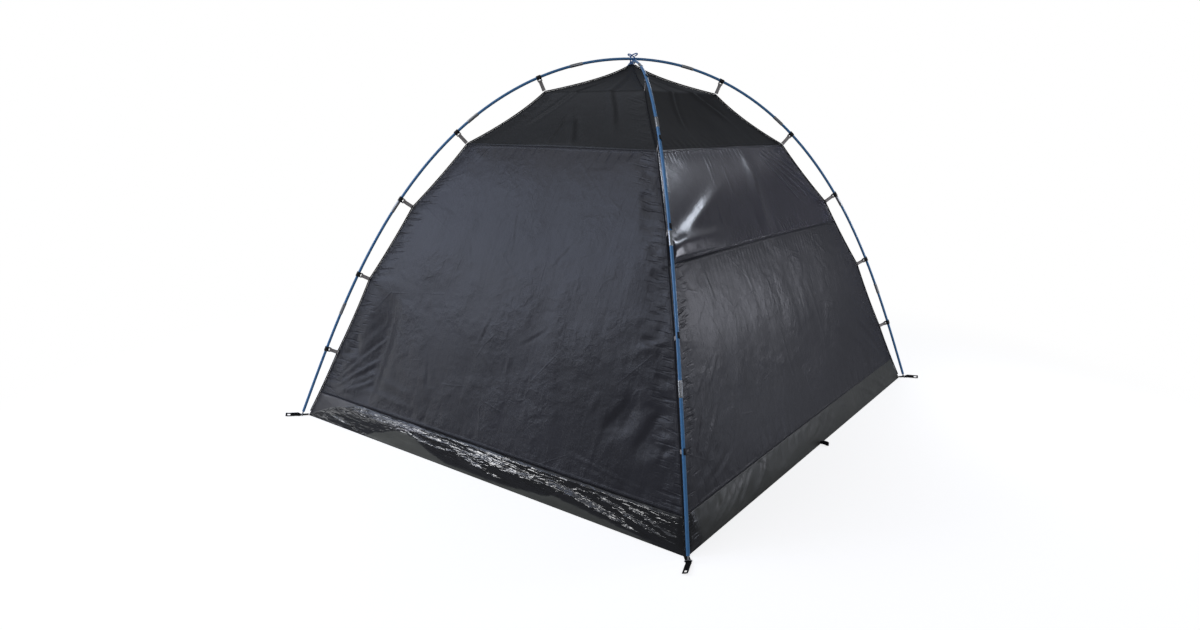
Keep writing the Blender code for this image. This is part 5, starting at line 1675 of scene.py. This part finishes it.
binding_lengths = [binding("ridge_binding_over_top", ("front_left", "back_right"), "ridge_tape_over_top"),
                   binding("ridge_binding_front_right", ("front_right",), "ridge_tape_front_right"),
                   binding("ridge_binding_back_left", ("back_left",), "ridge_tape_back_left")]
print("bindings:", [round(length, 3) for length in binding_lengths], "metres")

# %% [markdown]
# At each corner a black webbing strap is sewn to the floor. It runs through the wire eye of the foot pin,
# swings to one side and lies on the ground, rolled on to one edge, with a hole near its end for a peg.
# Webbing that has been pulled and trodden on is dished across, and so is the strip beyond the eye.

# %% Corner straps
FOOT_STRAP_WIDTH, FOOT_STRAP_THICKNESS, FOOT_STRAP_LENGTH, FOOT_STRAP_STEPS = 0.020, 0.0020, 0.106, 54
FOOT_STRAP_SWINGS = {"front_left": -3.0, "front_right": -22.0, "back_right": -27.0, "back_left": -22.0}
WIRE = 0.0032
EYE_MIDDLE = WIRE + TOUCH_GAP + FOOT_STRAP_THICKNESS / 2
PEG_HOLE_START, PEG_HOLE_END, PEG_HOLE_HALF = 0.084, 0.098, 0.0042
# How far each strap has rolled on to one of its edges beyond the eye, in degrees.
FOOT_STRAP_ROLLS = {"front_left": -34.0, "front_right": 14.0, "back_right": 34.0, "back_left": 12.0}


def holed_strip(name, middles, across, lift, cut_rows, half, cut_half, thickness, heights):
    """A strip of webbing with a long hole. cut_rows says which steps along it the hole takes."""
    shares = np.array((-1, -0.8, -cut_half / half, -cut_half / half * 0.5, 0, cut_half / half * 0.5,
                       cut_half / half, 0.8, 1))
    points = (middles[:, None] + across[:, None] * (shares * half)[None, :, None]
              + lift[:, None] * (heights[:, None] * np.abs(shares[None, :]) ** 2)[..., None])
    columns = len(shares)
    faces = grid_faces(len(middles), columns).reshape(len(middles) - 1, columns - 1, 4)
    keep = np.ones(faces.shape[:2], dtype=bool)
    keep[cut_rows[0]:cut_rows[1], 2:6] = False
    strip = sheet_object(name, points.reshape(-1, 3), faces[keep])
    run = running_length(middles)
    add_maps(strip.data, strip_map(shares * half, run),
             to_edge=np.tile((1 - np.abs(shares)) * half, (len(middles), 1)).ravel())
    only(strip)
    bpy.ops.object.mode_set(mode="EDIT")
    bpy.ops.mesh.select_all(action="SELECT")
    bpy.ops.mesh.delete_loose()
    bpy.ops.object.mode_set(mode="OBJECT")
    give_wall(strip, "thickness", thickness)
    rounding = strip.modifiers.new("rounding", "BEVEL")
    rounding.width = 0.0005
    rounding.segments = 2
    rounding.limit_method = "ANGLE"
    apply_modifiers(strip)
    strip.data.shade_smooth()
    strip.data.materials.append(foot_black)
    return strip, float(run[-1])


def foot_strap(corner):
    direction = np.array(CORNERS[corner])
    side = np.array(Vector((0, 0, 1)).cross(CORNERS[corner]))
    swing = math.radians(FOOT_STRAP_SWINGS[corner])
    run = np.linspace(0, FOOT_STRAP_LENGTH, FOOT_STRAP_STEPS)
    heading = swing * ease((run - 0.030) / 0.016)
    out = np.cumsum(np.append(0, np.cos(heading[1:]))) * (run[1] - run[0])
    off = np.cumsum(np.append(0, np.sin(heading[1:]))) * (run[1] - run[0])
    start = FOOT_RADIUS - FLOOR_INSET + 0.0006
    settled = ease((run - 0.031) / 0.020)
    roll = math.radians(FOOT_STRAP_ROLLS[corner]) * settled
    rest = 0.0016 + FOOT_STRAP_WIDTH / 2 * np.sin(np.abs(roll))
    height = EYE_MIDDLE + (rest - EYE_MIDDLE) * settled + 0.0015 * ease((run - 0.092) / 0.014)
    upright = np.array((0, 0, 1.0))
    middles = direction * (start + out)[:, None] + side * off[:, None] + upright * height[:, None]
    level = direction * (-np.sin(heading))[:, None] + side * np.cos(heading)[:, None]
    across = level * np.cos(roll)[:, None] + upright * np.sin(roll)[:, None]
    lift = upright * np.cos(roll)[:, None] - level * np.sin(roll)[:, None]
    rows = [int(round(place / FOOT_STRAP_LENGTH * (FOOT_STRAP_STEPS - 1)))
            for place in (PEG_HOLE_START, PEG_HOLE_END)]
    curl = 0.0016 * ease((run - 0.036) / 0.02) * (1 - 0.4 * ease((run - 0.07) / 0.03))
    strap, cut = holed_strip(f"corner_strap_{corner}", middles, across, lift, rows, FOOT_STRAP_WIDTH / 2,
                             PEG_HOLE_HALF, FOOT_STRAP_THICKNESS, curl)
    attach(strap, "tent")
    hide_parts(f"foot_strap_{corner}")
    return cut


print("corner straps:", [round(foot_strap(corner), 3) for corner in CORNERS])

# %% [markdown]
# Halfway along the right-hand edge there is a peg loop of narrower webbing. Both its ends are sewn to the
# floor's edge, and it stands on its side, so that a peg can be pushed down through it.

# %% The side peg loop
LOOP_WIDTH, LOOP_REACH, LOOP_HALF, LOOP_THICKNESS, LOOP_STEPS = 0.013, 0.038, 0.0075, 0.0018, 64
loop_start = float(side_points("right", np.array(0.0), np.array(0.0046))[0]) + 0.0012
loop_leg = [(0.0, 0.0011), (0.006, 0.0014), (0.012, 0.0040), (0.020, 0.0068), (0.028, LOOP_HALF)]
loop_turn = [(LOOP_REACH - LOOP_HALF + LOOP_HALF * math.cos(math.radians(a)),
              LOOP_HALF * math.sin(math.radians(a))) for a in range(75, -76, -15)]
loop_line = fine_line(loop_leg + loop_turn + [(x, -y) for x, y in reversed(loop_leg)], LOOP_STEPS)
loop_swell = 0.003 * ease(loop_line[:, 0] / 0.02) * (1 - ease((loop_line[:, 0] - 0.02) / 0.02))
loop_rise = LOOP_WIDTH / 2 + 0.0016 + loop_swell
loop_middles = np.column_stack([loop_start + loop_line[:, 0], loop_line[:, 1], loop_rise])
side_loop, loop_cut = ribbon("side_peg_loop", loop_middles, np.tile((0, 0, 1.0), (LOOP_STEPS, 1)),
                             LOOP_WIDTH, LOOP_THICKNESS)
side_loop.data.materials.append(foot_black)
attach(side_loop, "tent")
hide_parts("peg_loop_right")
print("side loop:", round(loop_cut, 4), "of webbing, top at", round(ends_of(side_loop)[1][2], 4))

# %% [markdown]
# A steel pin stands in the foot of each pole. It is bent from one wire,
# whose lower end is an eye round the corner strap. The eye starts as a small
# ring that is pulled apart to an oval, and the shaft is a rounded bar.

# %% Foot pins
PIN_RADIUS, PIN_LENGTH = 0.0030, 0.042
EYE_CLEARANCE = 0.0006


def foot_pin_master(slope):
    """One pin: X points out from the tent, Z up, and the foot of the pole is the origin."""
    low = WIRE / 2 - FOOT_HEIGHT
    high = EYE_MIDDLE + FOOT_STRAP_THICKNESS / 2 + TOUCH_GAP + WIRE / 2 - FOOT_HEIGHT
    lean = -math.cos(slope) / math.sin(slope)
    ring = (high - low) / 2
    place = (lean * high, 0, (high + low) / 2)
    only(bpy.data.objects["camera"])
    bpy.ops.mesh.primitive_torus_add(major_radius=ring, minor_radius=WIRE / 2, major_segments=36,
                                     minor_segments=12, location=place, rotation=(0, math.pi / 2, 0))
    eye = bpy.context.object
    bpy.ops.object.transform_apply(location=True, rotation=True, scale=True)
    pull = FOOT_STRAP_WIDTH / 2 + EYE_CLEARANCE + WIRE / 2 - ring
    for hand in (-1, 1):
        select_where(eye, "VERT", lambda v: v.y * hand > 1e-5)
        bpy.ops.transform.translate(value=(0, hand * pull, 0))
        bpy.ops.object.mode_set(mode="OBJECT")
    start = Vector((lean * high, 0, high - 0.0004))
    end = Vector((-math.cos(slope), 0, math.sin(slope))) * (PIN_LENGTH - 2 * TOUCH_GAP)
    turn = (end - start).to_track_quat("Z", "Y").to_euler()
    bpy.ops.mesh.primitive_cylinder_add(vertices=28, radius=PIN_RADIUS, depth=(end - start).length,
                                        location=(start + end) / 2, rotation=turn)
    shaft = soften(bpy.context.object, 0.0010, 3)
    bpy.ops.object.transform_apply(location=True, rotation=True, scale=True)
    pin = weld(eye, shaft)
    shade_by_angle(pin)
    return pin


for pole, (table, *ends) in POLES.items():
    pin_master = foot_pin_master(float(table[0, 3]))
    for corner in ends:
        direction = CORNERS[corner]
        matrix = Matrix((direction, Vector((0, 0, 1)).cross(direction),
                         Vector((0, 0, 1)))).transposed().to_4x4()
        matrix.translation = direction * FOOT_RADIUS + Vector((0, 0, FOOT_HEIGHT))
        pin = copy_of(pin_master, f"wire_pin_{corner}")
        pin.data.transform(matrix)
        pin.data.materials.append(pin_steel)
        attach(pin, "tent")
        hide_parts(f"foot_pin_{corner}")
    print("pin:", triangles(pin_master), "triangles,", ends_of(pin_master))
    bpy.data.objects.remove(pin_master)

# %% [markdown]
# The door is closed by a coil zip. Its two tapes are sewn along the wall's opening and the flap's edge, and
# the slider hangs at the foot of it.

# %% Zip tapes
ZIP_TAPE, ZIP_TAPE_THICKNESS = 0.011, 0.0010


def door_line(inset, steps=220):
    """The door's outline from lower right, over the head, to lower left, with its outward direction."""
    half = DOOR_WIDTH / 2 - inset
    side = DOOR_SPRING - DOOR_SILL_HEIGHT - 0.004
    total = 2 * side + math.pi * half
    run = np.linspace(0, total, steps)
    angle = np.clip((run - side) / half, 0, math.pi)
    x = np.where(run < side, half, np.where(run > total - side, -half, half * np.cos(angle)))
    z = np.where(run < side, DOOR_SPRING - side + run,
                 np.where(run > total - side, DOOR_SPRING - (run - total + side),
                          DOOR_SPRING + half * np.sin(angle)))
    return x, z, np.cos(angle), np.sin(angle), run


def zip_tape(name, first, last, body):
    """A narrow tape beside the opening, from one distance off it to another, a hair above the cloth."""
    offsets = np.array((first, first + (last - first) * 0.12, first + (last - first) * 0.24,
                        (first + last) / 2, last - (last - first) * 0.1, last))
    lifts = np.array((0.0018, 0.0024, 0.0016, 0.0014, 0.0013, 0.0006))
    x, z, out_x, out_z, run = door_line(0.0)
    along = x[:, None] + out_x[:, None] * offsets[None, :]
    height = z[:, None] + out_z[:, None] * offsets[None, :]
    smooth = side_points("back", along / half_width("back", height), height)
    normal = outward_normals(smooth)
    normal *= np.where(normal[..., 1:2] < 0, -1, 1)
    points = smooth + normal * lifts[None, :, None]
    tape = sheet_object(name, points.reshape(-1, 3), grid_faces(len(run), len(offsets)))
    add_maps(tape.data, strip_map(offsets, run), to_edge=np.tile(np.abs(offsets - last), len(run)))
    give_wall(tape, "thickness", ZIP_TAPE_THICKNESS, -1 if first < last else 1)
    apply_modifiers(tape)
    face_outwards(tape)
    tape.data.shade_smooth()
    tape.data.materials.append(zip_black)
    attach(tape, body)
    return float(run[-1])


zip_length = zip_tape("zip_tape_wall", 0.0002, ZIP_TAPE, "tent")
zip_tape("zip_tape_flap", -0.0006, -ZIP_TAPE, "door_flap")
print("each zip tape is", round(zip_length, 3), "long")

# %% [markdown]
# The slider is a small cast body with a bridge on it, and a flat pull that hangs from the bridge.

# %% Zip slider
SLIDER_WIDTH, SLIDER_LENGTH, PULL_WIDTH, PULL_LENGTH = 0.010, 0.014, 0.006, 0.022
slider_up, slider_out = Vector((0, -0.377199, 0.926132)), Vector((0, 0.926132, 0.377199))
slider_low, slider_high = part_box("zip_slider")
slider_foot = Vector(((slider_low.x + slider_high.x) / 2, slider_high.y - 0.0033 * slider_out.y, 0.185))

only(bpy.data.objects["camera"])
slider_body = solid_block((SLIDER_WIDTH, SLIDER_LENGTH, 0.0014), (0, SLIDER_LENGTH / 2, 0.0029))
select_where(slider_body, "VERT", lambda v: v.y < 0.001)
bpy.ops.transform.resize(value=(0.55, 1, 1), center_override=(0, 0, 0.0029))
bpy.ops.object.mode_set(mode="OBJECT")
soften(slider_body, 0.0005)
slider_bridge = solid_block((0.0026, 0.0090, 0.0022), (0, 0.0065, 0.0043))
select_where(slider_bridge, "FACE", lambda c: c.z > 0.005)
bpy.ops.transform.resize(value=(1, 0.55, 1), center_override=(0, 0.0065, 0.0054))
bpy.ops.object.mode_set(mode="OBJECT")
soften(slider_bridge, 0.0004)
pull = solid_block((PULL_WIDTH, PULL_LENGTH, 0.0011), (0, -PULL_LENGTH / 2 + 0.0015, 0.0040))
select_where(pull, "FACE", lambda c: abs(c.z - 0.0040) > 0.0004)
bpy.ops.mesh.inset(thickness=0.0017)
bpy.ops.mesh.bridge_edge_loops()
bpy.ops.object.mode_set(mode="OBJECT")
soften(pull, 0.0004)
slider = weld(slider_body, slider_bridge, pull)
slider.name = "zip_slider_cast"
matrix = Matrix((Vector((1, 0, 0)), slider_up, slider_out)).transposed().to_4x4()
matrix.translation = slider_foot + slider_up * PULL_LENGTH
slider.data.transform(matrix)
slider.data.materials.append(slider_dark)
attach(slider, "zip_slider")
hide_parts("zip_slider")
print("slider:", triangles(slider), "triangles,", ends_of(slider))

# %% [markdown]
# Six of the lamps stand for small bright things whose mirror image shows in one piece only, as a
# photographer does with flags and snoots: the vent's bright folds, and the white streaks on the
# groundsheet's front edge.

# %% Lamps for one piece
def light_only(lamp, *pieces):
    lit = bpy.data.collections.new("lit_by_" + lamp.name)
    for piece in pieces:
        lit.objects.link(piece)
    lamp.light_linking.receiver_collection = lit


for name in ("vent_softbox", "vent_halo_softbox", "vent_soft_softbox"):
    light_only(lamps[name], vent)
for name in ("edge_softbox", "edge_right_softbox", "edge_left_softbox"):
    light_only(lamps[name], tub)
# The lamp behind the tent isn't mirrored in the cap, which stays as dark as its cloth.
spared = bpy.data.collections.new("spared_by_back_softbox")
spared.objects.link(cap)
for entry in spared.collection_objects:
    entry.light_linking.link_state = "EXCLUDE"
lamps["back_softbox"].light_linking.receiver_collection = spared
